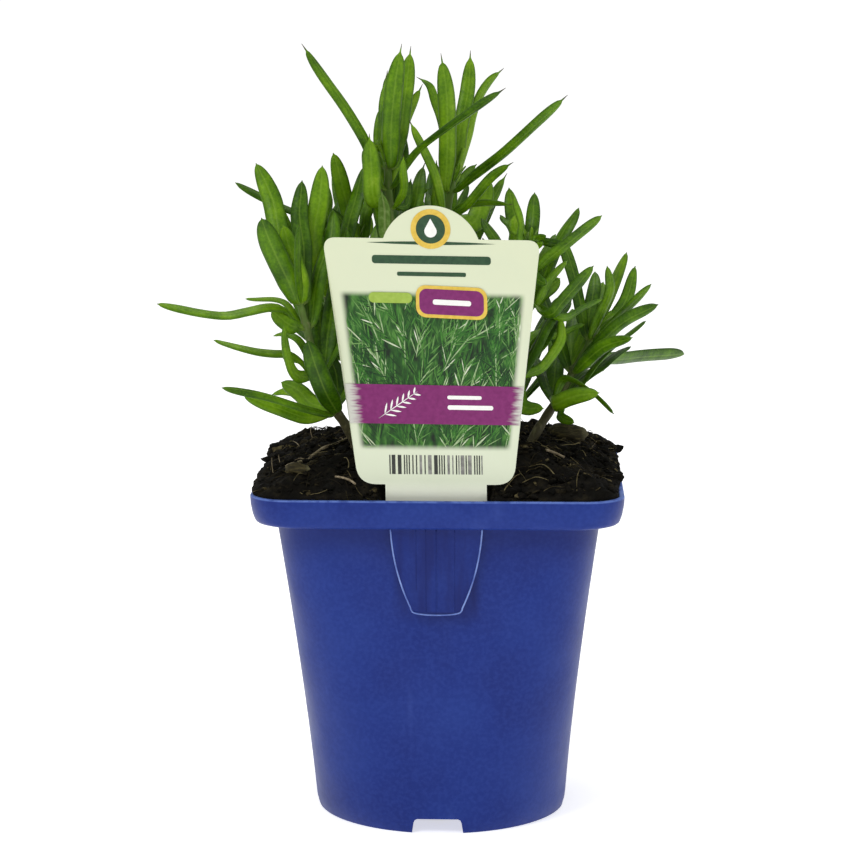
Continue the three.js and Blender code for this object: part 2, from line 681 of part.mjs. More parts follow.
// The leaves of a fan, as [width, turn, points after the base], in true millimetres.
function fanLeaves(base, { count, from, to, length, rise, width }) {
  const made = [];
  for (let i = 0; i < count; i++) {
    const share = (i + 0.5) / count;
    const uneven = ((i + 1) * GOLDEN + base.x * 0.13 + base.z * 0.07) % 1;
    const bearing = THREE.MathUtils.degToRad(from + (to - from) * share + 16 * (uneven - 0.5));
    const climb = THREE.MathUtils.degToRad(rise + 22 * (uneven - 0.5));
    const reach = length * (0.82 + 0.36 * Math.abs(uneven));
    const out = new THREE.Vector3(Math.cos(bearing), Math.sin(bearing), 0);
    const along = out.clone().multiplyScalar(Math.cos(climb)).addScaledVector(UP, Math.sin(climb));
    const bend = (uneven - 0.6) * 0.2;
    const middle = base.clone().addScaledVector(along, reach * 0.55);
    middle.addScaledVector(UP, reach * 0.05);
    const tip = base.clone().addScaledVector(along, reach).addScaledVector(UP, reach * bend);
    const bladeWidth = width * (0.85 + 0.3 * Math.abs(uneven));
    made.push({ width: bladeWidth, turn: 0, facing: UP, points: [middle, tip] });
  }
  return made;
}

// The relative width along a leaf, from its base to its tip.
function leafOutline(share) {
  const growth = 0.26 + 0.74 * THREE.MathUtils.smoothstep(share, 0, 0.45);
  const tip = Math.sqrt(Math.max(0.02, 1 - THREE.MathUtils.clamp((share - 0.62) / 0.385, 0, 1) ** 2));
  return growth * tip;
}

// The direction of a leaf's width: across its chord and its facing, turned about the chord.
function leafAcross(points, facing, turn) {
  const chord = points.at(-1).clone().sub(points[0]).normalize();
  const across = chord.clone().cross(facing).normalize();
  return across.applyAxisAngle(chord, THREE.MathUtils.degToRad(turn));
}

// Bends a bar with the given sides along a curve. Half sizes are functions of the way along it.
function bentBar(curve, across, sides, steps, halfWidth, halfThickness) {
  const bar = new THREE.CylinderGeometry(1, 1, 1, sides, steps);
  return reshape(bar, (point) => {
    const share = THREE.MathUtils.clamp(point.y + 0.5, 0, 1);
    const centre = curve.getPoint(share);
    const tangent = curve.getTangent(share);
    const wide = across.clone().addScaledVector(tangent, -across.dot(tangent)).normalize();
    const thick = wide.clone().cross(tangent);
    const x = point.x * halfWidth(share);
    const z = point.z * halfThickness(share);
    point.copy(centre).addScaledVector(wide, x).addScaledVector(thick, z);
  });
}

// A flat-sided ring clears a flat-sided stem of the same size at any turn with this much more.
const RING_SLACK = 1 / Math.cos(Math.PI / STEM_SIDES) + 0.02;

const stemRadius = (sprig, share) => sprig.radius * (1 - STEM_TAPER * share);

function stemSolid(sprig, grow) {
  const radius = (share) => stemRadius(sprig, share) + grow;
  const across = new THREE.Vector3(1, 0, 0);
  return solidOf(bentBar(sprig.curve, across, STEM_SIDES, STEM_STEPS, radius, radius));
}

function leafSolid(blade, grow) {
  const widen = 1 / Math.cos(Math.PI / 6); // a three-sided bar is this much narrower than its circle
  const halfWidth = (share) => ((blade.width / 2) * leafOutline(share) + grow) * widen;
  const halfThickness = (share) => (LEAF_THICKNESS / 2) * (1 - 0.45 * share) + grow;
  const curve = curveThrough(blade.points);
  return solidOf(bentBar(curve, blade.across, 3, LEAF_STEPS, halfWidth, halfThickness));
}

// The ring of joined leaf bases, loose on the stem.
function collarSolid(sprig, at) {
  const inside = (stemRadius(sprig, at) + CLEARANCE) * RING_SLACK;
  const outside = inside + COLLAR_THICKNESS;
  const half = COLLAR_HEIGHT / 2;
  const section = [
    new THREE.Vector2(inside, -half),
    new THREE.Vector2(outside, 0),
    new THREE.Vector2(inside, half),
    new THREE.Vector2(inside, -half),
  ];
  const ring = new THREE.LatheGeometry(section, STEM_SIDES);
  const axis = new THREE.Vector3(0, 1, 0);
  const turn = new THREE.Quaternion().setFromUnitVectors(axis, sprig.curve.getTangent(at));
  ring.applyQuaternion(turn);
  const centre = sprig.curve.getPoint(at);
  ring.translate(centre.x, centre.y, centre.z);
  return solidOf(ring);
}

// A leaf as a chain of points from the collar to the tip.
function growBlade(sprig, at, whorl, { width, turn, facing, points }) {
  const centre = sprig.curve.getPoint(at);
  const tangent = sprig.curve.getTangent(at);
  const outwards = points[0].clone().sub(centre);
  outwards.addScaledVector(tangent, -outwards.dot(tangent)).normalize();
  const root = (stemRadius(sprig, at) + CLEARANCE) * RING_SLACK + LEAF_ROOT_DEPTH;
  const base = centre.clone().addScaledVector(outwards, root);
  const chain = curveThrough([base, ...points]).getSpacedPoints(LEAF_SAMPLES - 1);
  return { whorl, width, points: chain, across: leafAcross(chain, facing, turn) };
}

function growSprig(sprig) {
  sprig.curve = curveThrough(sprig.stem.map(spot));
  sprig.blades = [];
  sprig.whorls.forEach((whorl, number) => {
    const base = sprig.curve.getPoint(whorl.at);
    const name = sprig.name + "_leaves_" + (number + 1);
    for (const entry of whorl.leaves) {
      const grown = entry.count
        ? fanLeaves(base, entry)
        : [{ ...entry, facing: TO_FRONT, points: entry.spots.map(spot) }];
      for (const one of grown) sprig.blades.push(growBlade(sprig, whorl.at, name, one));
    }
  });
}

// ---------------------------------------------------------------- making room
// Leaves that would run through each other, a stem, the label or the mix are eased apart. Each
// leaf keeps its base, and its outer part bends away by the least that the two need.
const EASE_ROUNDS = 60;
const EASE_REACH = 3.4; // crossing places are looked for within this distance
const EASE_GAP = 0.75;

function chainTangent(chain, i) {
  const last = chain.length - 1;
  return chain[Math.min(last, i + 1)].clone().sub(chain[Math.max(0, i - 1)]).normalize();
}

// Half the size of a chain's section along a direction, at one of its points.
function halfSize(chain, i, tangent, direction) {
  if (!chain.across) return chain.radius;
  const share = i / (chain.points.length - 1);
  const wide = chain.across.clone().addScaledVector(tangent, -chain.across.dot(tangent)).normalize();
  const thick = wide.clone().cross(tangent);
  const width = (chain.width / 2) * leafOutline(share) * Math.abs(wide.dot(direction));
  return width + (LEAF_THICKNESS / 2) * Math.abs(thick.dot(direction));
}

function easeApart(a, b) {
  const sameWhorl = a.whorl !== undefined && a.whorl === b.whorl;
  const first = sameWhorl ? 3 : 1;
  for (let i = first; i < a.points.length; i++) {
    for (let j = b.across ? first : 0; j < b.points.length; j++) {
      const between = a.points[i].clone().sub(b.points[j]);
      if (between.length() > 2 * EASE_REACH) continue;
      const ta = a.tangents[i];
      const tb = b.tangents[j];
      const direction = ta.clone().cross(tb);
      if (direction.length() < 0.35) direction.copy(between).addScaledVector(ta, -between.dot(ta));
      direction.normalize();
      const apart = between.dot(direction);
      if (between.addScaledVector(direction, -apart).length() > EASE_REACH) continue;
      const need = halfSize(a, i, ta, direction) + halfSize(b, j, tb, direction) + EASE_GAP;
      if (Math.abs(apart) >= need) continue;
      const push = (apart < 0 ? -1 : 1) * (need - Math.abs(apart)) * 0.25;
      const share = b.across ? 1 : 2;
      a.moves[i].addScaledVector(direction, push * share);
      if (b.across) b.moves[j].addScaledVector(direction, -push);
    }
  }
}

// Keeps a leaf behind the label and above the mix.
function easeFromSolids(chain) {
  chain.points.forEach((point, i) => {
    if (i === 0) return;
    const half = halfSize(chain, i, chain.tangents[i], UP);
    const low = soilZ(point.x, point.y) + half + 1.2 - point.z;
    if (low > 0) chain.moves[i].z += low * 0.5;
    const top = LABEL_BODY_TOP + LABEL_HEAD_RISE + 3;
    const beside = Math.abs(point.x) > LABEL_TOP_WIDTH / 2 + 4;
    if (beside || point.z > top) return;
    const depth = halfSize(chain, i, chain.tangents[i], TO_FRONT);
    const near = labelY(point.x, point.z) + depth + 1.4 - point.y;
    if (near > 0) chain.moves[i].y += near * 0.5;
  });
}

function makeRoom(sprigs) {
  const blades = sprigs.flatMap((sprig) => sprig.blades);
  const stems = sprigs.map((sprig) => {
    const points = sprig.curve.getSpacedPoints(40);
    const tangents = points.map((_, i) => chainTangent(points, i));
    return { points, tangents, radius: sprig.radius };
  });
  for (let round = 0; round < EASE_ROUNDS; round++) {
    for (const blade of blades) {
      blade.tangents = blade.points.map((_, i) => chainTangent(blade.points, i));
      blade.moves = blade.points.map(() => new THREE.Vector3());
      blade.box = new THREE.Box3().setFromPoints(blade.points).expandByScalar(EASE_REACH);
    }
    blades.forEach((a, i) => {
      for (const b of blades.slice(i + 1)) if (a.box.intersectsBox(b.box)) easeApart(a, b);
      for (const stem of stems) easeApart(a, stem);
      easeFromSolids(a);
    });
    for (const { points, moves } of blades) {
      const last = points.length - 1;
      points.forEach((point, i) => {
        if (i === 0) return;
        const eased = moves[i].clone().multiplyScalar(0.5);
        eased.addScaledVector(moves[i - 1], 0.25).addScaledVector(moves[Math.min(last, i + 1)], 0.25);
        point.add(eased.multiplyScalar(Math.min(1, i / 2)));
      });
    }
  }
}

// ---------------------------------------------------------------- pieces lying in the mix
const inPlan = ([x, y]) => [x * SPREAD, y * SPREAD];

// A lump of bark: a low-sided ball, flattened and turned, set into the surface.
function barkSolid({ place, size, turn, sink }, grow) {
  const [x, y] = inPlan(place);
  const ball = new THREE.IcosahedronGeometry(1, 1);
  reshape(ball, (point) => {
    const uneven = 1 + 0.12 * Math.sin(point.x * 5 + x) + 0.1 * Math.cos(point.y * 4 - point.z * 3 + y);
    point.multiplyScalar(uneven);
    point.set(point.x * (size[0] + grow), point.y * (size[1] + grow), point.z * (size[2] + grow));
  });
  ball.rotateZ(turn);
  ball.translate(x, y, soilZ(x, y) + size[2] - sink);
  return solidOf(ball);
}

const BARK = [
  { name: "bark_chip_1", place: [-37.5, -37], size: [3.4, 2.4, 1.6], turn: 0.2, sink: 1.2 },
  { name: "bark_chip_2", place: [-33.6, -26], size: [2.4, 1.2, 0.9], turn: 0.5, sink: 0.6 },
  { name: "bark_chip_3", place: [-27.5, -22], size: [1.5, 1.1, 0.8], turn: 0.1, sink: 0.5 },
  { name: "bark_chunk", place: [35, 20], size: [6, 4.4, 2.8], turn: -0.1, sink: 2 },
];

const ROOT_RADIUS = 0.45;
const ROOT_PLAN = [[-41.3, -26], [-37, -17], [-32, -8], [-26.5, -1], [-23, 4]];

function rootSolid(grow) {
  const points = ROOT_PLAN.map(inPlan).map(([x, y]) => {
    return new THREE.Vector3(x, y, soilZ(x, y) + ROOT_RADIUS * 0.6);
  });
  const radius = () => ROOT_RADIUS + grow;
  return solidOf(bentBar(curveThrough(points), UP, 6, 10, radius, radius));
}

// ---------------------------------------------------------------- assembly
const COLORS = {
  pot: 0x2c3c83,
  mix: 0x1c1915,
  label: 0xe2e7cb,
  bark: 0x4a3b2a,
  root: 0x8b7f73,
  stem: 0x5b6b3a,
  leaf: 0x4c7a22,
};

const plant = new THREE.Group();

function addPiece(name, solid, color, roughness) {
  const material = new THREE.MeshStandardMaterial({ color, roughness, metalness: 0 });
  const mesh = new THREE.Mesh(geometryOf(mainBody(solid)), material);
  mesh.name = name;
  plant.add(mesh);
}

SPRIGS.forEach(growSprig);
makeRoom(SPRIGS);

addPiece("pot", potSolid(), COLORS.pot, 0.45);
addPiece("plant_label", labelSolid(0), COLORS.label, 0.4);

const inTheMix = [
  labelSolid(CLEARANCE),
  rootSolid(CLEARANCE),
  ...BARK.map((lump) => barkSolid(lump, CLEARANCE)),
  ...SPRIGS.map((sprig) => stemSolid(sprig, CLEARANCE)),
];
addPiece("potting_mix", soilSolid().subtract(joined(inTheMix)), COLORS.mix, 0.95);
addPiece("root_strand", rootSolid(0), COLORS.root, 0.8);
for (const lump of BARK) addPiece(lump.name, barkSolid(lump, 0), COLORS.bark, 0.9);

for (const sprig of SPRIGS) addPiece(sprig.name + "_stem", stemSolid(sprig, 0), COLORS.stem, 0.7);

// Each whorl is one piece: its collar and its leaves. Where two whorls still touch, the later
// one is cut back by the clearance.
const stemRoom = joined(SPRIGS.map((sprig) => stemSolid(sprig, CLEARANCE)));
let taken = stemRoom.add(labelSolid(CLEARANCE));
for (const sprig of SPRIGS) {
  sprig.whorls.forEach((whorl, number) => {
    const name = sprig.name + "_leaves_" + (number + 1);
    const own = sprig.blades.filter((blade) => blade.whorl === name);
    const whole = joined([collarSolid(sprig, whorl.at), ...own.map((blade) => leafSolid(blade, 0))]);
    addPiece(name, whole.subtract(taken), COLORS.leaf, 0.6);
    taken = joined([taken, ...own.map((blade) => leafSolid(blade, CLEARANCE + 0.1))]);
  });
}

export default plant;
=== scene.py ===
# The looks of a potted rosemary: a square nursery pot, potting mix, a push-in label, ten sprigs.
# The scene is in metres, +Z up, with the label towards -Y. Sizes are written in millimetres,
# as in the part's source, and MM turns them into metres where a mesh is made.
import math

import bmesh
import bpy
import numpy as np
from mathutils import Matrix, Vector, geometry, noise


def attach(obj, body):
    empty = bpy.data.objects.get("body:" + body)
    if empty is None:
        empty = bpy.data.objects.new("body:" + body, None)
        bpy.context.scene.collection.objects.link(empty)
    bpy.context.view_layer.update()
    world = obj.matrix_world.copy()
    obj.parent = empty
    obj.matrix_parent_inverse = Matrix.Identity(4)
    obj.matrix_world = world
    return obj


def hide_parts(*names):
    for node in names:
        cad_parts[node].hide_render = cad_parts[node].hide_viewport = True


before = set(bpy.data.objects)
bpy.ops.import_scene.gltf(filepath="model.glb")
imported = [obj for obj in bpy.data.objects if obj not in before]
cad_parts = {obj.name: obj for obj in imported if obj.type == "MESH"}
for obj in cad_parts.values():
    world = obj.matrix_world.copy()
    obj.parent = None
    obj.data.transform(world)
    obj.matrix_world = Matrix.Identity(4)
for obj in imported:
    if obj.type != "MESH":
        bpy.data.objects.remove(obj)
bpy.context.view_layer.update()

MM = 0.001
RANDOM = np.random.default_rng(41)

# ------------------------------------------------------------------ sizes, in millimetres
POT_HEIGHT = 95.0
RIM_WIDTH = 100.0
RIM_CORNER_RADIUS = 11.0
RIM_BAND_HEIGHT = 8.0
RIM_BAND_TAPER = 1.5
RIM_THICKNESS = 1.5
WALL_TOP_WIDTH = 87.5
WALL_TOP_CORNER_RADIUS = 14.3
WALL_THICKNESS = 1.2
WALL_FLARE = 1.32
WALL_SQUARING = 0.6
BASE_DIAMETER = 70.0
FOOT_WIDTH = 2.0
FLOOR_LIFT = 3.6
NOTCH_WIDTH = 13.5
NOTCH_HEIGHT = 4.2
NOTCH_COUNT = 4
DRAIN_HOLE_DIAMETER = 6.0
DRAIN_CIRCLE_DIAMETER = 42.0
DRAIN_HOLE_COUNT = 6
LEDGE_Z = POT_HEIGHT - RIM_BAND_HEIGHT
FLOOR_TOP = FLOOR_LIFT + WALL_THICKNESS

SOIL_BELOW_RIM = 0.6
SOIL_MOUND = 10.0

LABEL_THICKNESS = 0.5
LABEL_BODY_BOTTOM = 98.8
LABEL_BODY_TOP = 164.4
LABEL_TOP_WIDTH = 56.4
LABEL_BOTTOM_WIDTH = 41.0
LABEL_TOP_CORNER = 3.2
LABEL_BOTTOM_CORNER = 4.8
LABEL_HEAD_RADIUS = 13.2
LABEL_HEAD_RISE = 8.7
LABEL_STEM_WIDTH = 26.8
LABEL_FOOT_WIDTH = 9.0
LABEL_OFF_WALL = 1.25
LABEL_OFF_WALL_LOW = 1.0856
LABEL_Y_AT_RIM = -WALL_TOP_WIDTH / 2 - LABEL_OFF_WALL
LABEL_TWIST = 0.14
LABEL_TWIST_HEIGHT = 45.0
LABEL_SHIFT = -0.018
POCKET_HEIGHT = 23.2
POCKET_TOP_WIDTH = 24.4
POCKET_BOTTOM_WIDTH = 12.6
CLEARANCE = 0.3

LEAF_THICKNESS = 0.9
LEAF_ROOT_DEPTH = 0.75
STEM_TAPER = 0.4
STEM_SIDES = 6
RING_SLACK = 1 / math.cos(math.pi / STEM_SIDES) + 0.02
EYE = np.array([25.2, -799.6, 231.2])  # where the photograph was taken from
EYE_PITCH = 8.915  # degrees below the horizon
EYE_YAW = 2.0
LENS = 120.726  # on a sensor 36 mm wide


# ------------------------------------------------------------------ numbers
def vec(*values):
    return np.array(values, float)


def unit(v):
    return v / np.maximum(np.linalg.norm(v, axis=-1, keepdims=True), 1e-12)


def smoothstep(x, low, high):
    t = np.clip((np.asarray(x, float) - low) / (high - low), 0, 1)
    return t * t * (3 - 2 * t)


def square_to(axis, v):
    """v without its share along a unit axis, as a unit vector."""
    return unit(v - axis * np.dot(v, axis))


def mix(a, b, share):
    return a + (b - a) * share


def rotated(v, axis, angle):
    """v turned about a unit axis by an angle in radians."""
    turned = v * math.cos(angle) + np.cross(axis, v) * math.sin(angle)
    return turned + axis * np.dot(axis, v) * (1 - math.cos(angle))


def fractal(point, size, octaves=3, seed=0.0):
    """Smooth noise about -1..1 with features of a size in millimetres."""
    place = Vector(point) / size + Vector((seed, seed * 1.7, seed * 0.6))
    total = 0.0
    for octave in range(octaves):
        total += noise.noise(place * 2**octave) / 2**octave
    return total


class Curve:
    """A centripetal Catmull-Rom curve, the same as the one that the CAD's stems and leaves use."""

    def __init__(self, points):
        self.points = np.array(points, float)

    def at(self, shares):
        points = self.points
        last = len(points) - 1
        ends = [2 * points[0] - points[1]], [2 * points[-1] - points[-2]]
        padded = np.vstack([ends[0], points, ends[1]])
        place = np.clip(np.atleast_1d(shares), 0, 1) * last
        index = np.minimum(place.astype(int), last - 1)
        weight = (place - index)[:, None]
        p0, p1, p2, p3 = (padded[index + k] for k in range(4))
        d0 = np.linalg.norm(p1 - p0, axis=1, keepdims=True) ** 0.5
        d1 = np.linalg.norm(p2 - p1, axis=1, keepdims=True) ** 0.5
        d2 = np.linalg.norm(p3 - p2, axis=1, keepdims=True) ** 0.5
        t1 = ((p1 - p0) / d0 - (p2 - p0) / (d0 + d1) + (p2 - p1) / d1) * d1
        t2 = ((p2 - p1) / d1 - (p3 - p1) / (d1 + d2) + (p3 - p2) / d2) * d1
        c2 = 3 * (p2 - p1) - 2 * t1 - t2
        c3 = 2 * (p1 - p2) + t1 + t2
        return p1 + weight * (t1 + weight * (c2 + weight * c3))

    def tangents(self, shares):
        shares = np.clip(np.atleast_1d(shares), 0, 1)
        before = np.maximum(shares - 1e-4, 0)
        after = np.minimum(shares + 1e-4, 1)
        return unit(self.at(after) - self.at(before))

    def spaced(self, count):
        """Points at equal distances along the curve, its two ends included."""
        steps = np.linspace(0, 1, 201)
        along = self.at(steps)
        length = np.concatenate([[0], np.cumsum(np.linalg.norm(np.diff(along, axis=0), axis=1))])
        return self.at(np.interp(np.linspace(0, length[-1], count), length, steps))


# ------------------------------------------------------------------ meshes
def make_object(name, points, faces, materials=(), smooth=True, values=None, face_material=None):
    """An object from points in millimetres. values are {attribute: one number per point}."""
    mesh = bpy.data.meshes.new(name)
    mesh.from_pydata((np.asarray(points, float) * MM).tolist(), [], [list(face) for face in faces])
    for key, numbers in (values or {}).items():
        layer = mesh.attributes.new(key, "FLOAT", "POINT")
        layer.data.foreach_set("value", np.asarray(numbers, np.float32))
    if smooth:
        mesh.shade_smooth()
    for material in materials:
        mesh.materials.append(material)
    if face_material is not None:
        mesh.polygons.foreach_set("material_index", np.asarray(face_material, np.int32))
    mesh.update()
    made = bpy.data.objects.new(name, mesh)
    bpy.context.scene.collection.objects.link(made)
    return made


def part(points, faces, material=0, **values):
    """One part of a piece: a mesh, its material's number, and values for its points."""
    return {"points": points, "faces": faces, "material": material, "values": values}


def add_piece(name, parts, materials, replaces=(), smooth=True):
    """One piece from several parts."""
    points, faces, values, face_material = [], [], {}, []
    start = 0
    keys = sorted({key for one in parts for key in one["values"]})
    for one in parts:
        count = len(one["points"])
        points.append(one["points"])
        faces.extend([[corner + start for corner in face] for face in one["faces"]])
        face_material.extend([one["material"]] * len(one["faces"]))
        for key in keys:
            numbers = np.broadcast_to(one["values"].get(key, 0.0), (count,))
            values.setdefault(key, []).append(numbers)
        start += count
    joined = {key: np.concatenate(numbers) for key, numbers in values.items()}
    piece = make_object(name, np.vstack(points), faces, materials, smooth, joined, face_material)
    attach(piece, "root")
    if replaces:
        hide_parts(*replaces)
    return piece


def capped_faces(rows, columns):
    """Quads between rows of points, each row closed on itself, and a face over each end."""
    faces = []
    for row in range(rows - 1):
        for column in range(columns):
            a, b = row * columns + column, row * columns + (column + 1) % columns
            faces.append((a, b, b + columns, a + columns))
    faces.append(tuple(reversed(range(columns))))
    faces.append(tuple(range((rows - 1) * columns, rows * columns)))
    return faces


def tube(points, radii, sides, start_turn=0.0, squareness=0.0):
    """A round bar along points, with closed ends and its frame carried along without a twist."""
    points = np.asarray(points, float)
    radii = np.broadcast_to(radii, (len(points),))
    tangents = unit(np.gradient(points, axis=0))
    side = np.cross(tangents[0], vec(0.3, 0.2, 0.93))
    side = unit(side if np.linalg.norm(side) > 0.1 else np.cross(tangents[0], vec(1, 0, 0)))
    angles = start_turn + np.arange(sides) * 2 * math.pi / sides
    bulge = 1 + squareness * np.cos(4 * angles)
    rows = []
    for centre, tangent, radius in zip(points, tangents, radii):
        side = square_to(tangent, side)
        other = np.cross(tangent, side)
        ring = np.outer(np.cos(angles) * bulge, side) + np.outer(np.sin(angles) * bulge, other)
        rows.append(centre + radius * ring)
    return np.vstack(rows), capped_faces(len(points), sides)


def bar(points, radii, sides, **values):
    """A tube as one part of a piece."""
    return part(*tube(points, radii, sides), **values)


def ball(rings, sides):
    """A round lump of radius 1 as points and faces."""
    points = [vec(0, 0, -1)]
    for ring in range(1, rings):
        tilt = math.pi * ring / rings - math.pi / 2
        for side in range(sides):
            turn = 2 * math.pi * (side + 0.5 * (ring % 2)) / sides
            level = math.cos(tilt)
            points.append(vec(level * math.cos(turn), level * math.sin(turn), math.sin(tilt)))
    points.append(vec(0, 0, 1))
    faces = []
    for side in range(sides):
        faces.append((0, 1 + (side + 1) % sides, 1 + side))
    for ring in range(rings - 2):
        for side in range(sides):
            a = 1 + ring * sides + side
            b = 1 + ring * sides + (side + 1) % sides
            faces.append((a, b, b + sides, a + sides))
    top = len(points) - 1
    first = 1 + (rings - 2) * sides
    for side in range(sides):
        faces.append((first + side, first + (side + 1) % sides, top))
    return np.array(points), faces


# ------------------------------------------------------------------ materials
class Look:
    """A material and short ways to add nodes to it. Noise sizes are in millimetres."""

    def __init__(self, name, roughness, shine):
        self.material = bpy.data.materials.new(name)
        self.material.use_nodes = True
        self.tree = self.material.node_tree
        self.shader = self.tree.nodes["Principled BSDF"]
        self.place = self.node("ShaderNodeTexCoord").outputs["Object"]
        self.set("Roughness", roughness)
        self.set("Specular IOR Level", shine)

    def set(self, socket, value):
        if isinstance(value, bpy.types.NodeSocket):
            self.tree.links.new(value, self.shader.inputs[socket])
        else:
            self.shader.inputs[socket].default_value = value

    def node(self, kind, inputs=None, **settings):
        made = self.tree.nodes.new(kind)
        for key, value in settings.items():
            setattr(made, key, value)
        for key, value in (inputs or {}).items():
            if isinstance(value, bpy.types.NodeSocket):
                self.tree.links.new(value, made.inputs[key])
            else:
                made.inputs[key].default_value = value
        return made

    def noise(self, size, detail=3.0, stretch=None, roughness=0.5):
        place = self.place
        if stretch:
            place = self.node("ShaderNodeMapping", {"Vector": place, "Scale": stretch}).outputs[0]
        inputs = {"Vector": place, "Scale": 1 / (size * MM), "Detail": detail, "Roughness": roughness}
        return self.node("ShaderNodeTexNoise", inputs).outputs["Fac"]

    def cells(self, size):
        inputs = {"Vector": self.place, "Scale": 1 / (size * MM)}
        return self.node("ShaderNodeTexVoronoi", inputs).outputs["Distance"]

    def value(self, name):
        return self.node("ShaderNodeAttribute", attribute_name=name).outputs["Fac"]

    def axis(self, letter):
        return self.node("ShaderNodeSeparateXYZ", {0: self.place}).outputs[letter]

    def math(self, operation, a, b=0.5, c=None):
        inputs = {0: a, 1: b}
        if c is not None:
            inputs[2] = c
        return self.node("ShaderNodeMath", inputs, operation=operation).outputs[0]

    def plus(self, a, b):
        return self.math("ADD", a, b)

    def minus(self, a, b):
        return self.math("SUBTRACT", a, b)

    def times(self, a, b):
        return self.math("MULTIPLY", a, b)

    def absolute(self, a):
        return self.math("ABSOLUTE", a)

    def ripple(self, swing, size, detail):
        """Noise that swings evenly to both sides of 0."""
        return self.math("MULTIPLY_ADD", self.noise(size, detail), swing, -swing / 2)

    def ramp(self, value, *stops):
        """stops are (place, sRGB colour in 0..255 or a grey in 0..1)."""
        made = self.node("ShaderNodeValToRGB", {0: value})
        stop_list = made.color_ramp.elements
        while len(stop_list) < len(stops):
            stop_list.new(0.5)
        for element, (place, colour) in zip(stop_list, stops):
            element.position = place
            element.color = srgb(*colour) if isinstance(colour, tuple) else (colour, colour, colour, 1)
        return made.outputs[0]

    def blend(self, share, a, b):
        """From colour a to colour b. The mix node has its colours in its sockets 6 and 7."""
        made = self.node("ShaderNodeMix", data_type="RGBA")
        for key, value in ((0, share), (6, a), (7, b)):
            if isinstance(value, bpy.types.NodeSocket):
                self.tree.links.new(value, made.inputs[key])
            else:
                made.inputs[key].default_value = srgb(*value) if isinstance(value, tuple) else value
        return made.outputs[2]

    def between(self, value, low, high, to_low=0.0, to_high=1.0):
        """An eased step between two levels of a value. low may be above high."""
        inputs = {0: value, 1: low, 2: high, 3: to_low, 4: to_high}
        return self.node("ShaderNodeMapRange", inputs, interpolation_type="SMOOTHSTEP").outputs[0]

    def bump(self, *heights):
        """heights are (value, depth in millimetres)."""
        normal = None
        for value, depth in heights:
            inputs = {"Height": value, "Distance": depth * MM, "Strength": 1.0}
            if normal is not None:
                inputs["Normal"] = normal
            normal = self.node("ShaderNodeBump", inputs).outputs[0]
        self.set("Normal", normal)


def srgb(red, green, blue):
    def linear(level):
        level = level / 255
        return level / 12.92 if level <= 0.04045 else ((level + 0.055) / 1.055) ** 2.4

    return (linear(red), linear(green), linear(blue), 1.0)


# ------------------------------------------------------------------ the photograph's view
ROOM_LIGHT = 0.5  # the white room's light on the object, when a full white is 1
FLOOR_GLOW = 0.62  # keeps the floor as white as the room
FLOOR_REACH = 30.0  # metres to each side
LAMPS = [  # name, place and target in metres, diameter in metres, watts
    ("key", (-0.6, -1.0, 1.2), (0, 0, 0.1), 0.5, 7.0),
    ("fill", (1.1, -0.7, 0.7), (0, 0, 0.1), 0.8, 1.5),
    ("top", (0.1, 0.3, 1.4), (0, 0, 0.12), 0.6, 4.0),
]


def add_camera():
    data = bpy.data.cameras.new("camera")
    data.sensor_width = 36
    data.lens = LENS
    data.clip_start = 0.05
    data.clip_end = 100
    camera = bpy.data.objects.new("camera", data)
    camera.location = EYE * MM
    camera.rotation_euler = (math.radians(90 - EYE_PITCH), 0, math.radians(EYE_YAW))
    bpy.context.scene.collection.objects.link(camera)
    bpy.context.scene.camera = camera


def add_lamp(name, place, target, size, watts):
    data = bpy.data.lights.new(name, "AREA")
    data.shape = "DISK"
    data.size = size
    data.energy = watts
    lamp = bpy.data.objects.new(name, data)
    lamp.location = place
    lamp.rotation_euler = (Vector(target) - Vector(place)).to_track_quat("-Z", "Y").to_euler()
    bpy.context.scene.collection.objects.link(lamp)


def add_studio():
    white = Look("studio_floor", 0.9, 0.0)
    white.set("Emission Color", (1, 1, 1, 1))
    white.set("Base Color", white.ramp(white.noise(400, 2), (0.3, 0.88), (0.7, 0.9)))
    white.set("Emission Strength", FLOOR_GLOW)
    mesh = bpy.data.meshes.new("floor")
    corners = [(x * FLOOR_REACH, y * FLOOR_REACH, 0) for x, y in ((-1, -1), (1, -1), (1, 1), (-1, 1))]
    mesh.from_pydata(corners, [], [(0, 1, 2, 3)])
    mesh.materials.append(white.material)
    floor = bpy.data.objects.new("floor", mesh)
    bpy.context.scene.collection.objects.link(floor)

    world = bpy.data.worlds.new("studio")
    bpy.context.scene.world = world
    world.use_nodes = True
    tree = world.node_tree
    tree.nodes["Background"].inputs[0].default_value = (1, 1, 1, 1)
    seen = tree.nodes.new("ShaderNodeLightPath").outputs["Is Camera Ray"]
    level = tree.nodes.new("ShaderNodeMapRange")
    level.inputs[3].default_value = ROOM_LIGHT  # for rays that light the object
    level.inputs[4].default_value = 1.0  # for rays that the camera sees
    tree.links.new(seen, level.inputs[0])
    tree.links.new(level.outputs[0], tree.nodes["Background"].inputs[1])
    bpy.context.scene.view_settings.view_transform = "Standard"

    for lamp in LAMPS:
        add_lamp(*lamp)


# ------------------------------------------------------------------ pot
CORNER_POINTS = 22
HALF_STEP = math.pi / 4 / CORNER_POINTS
COLUMNS = 4 * CORNER_POINTS


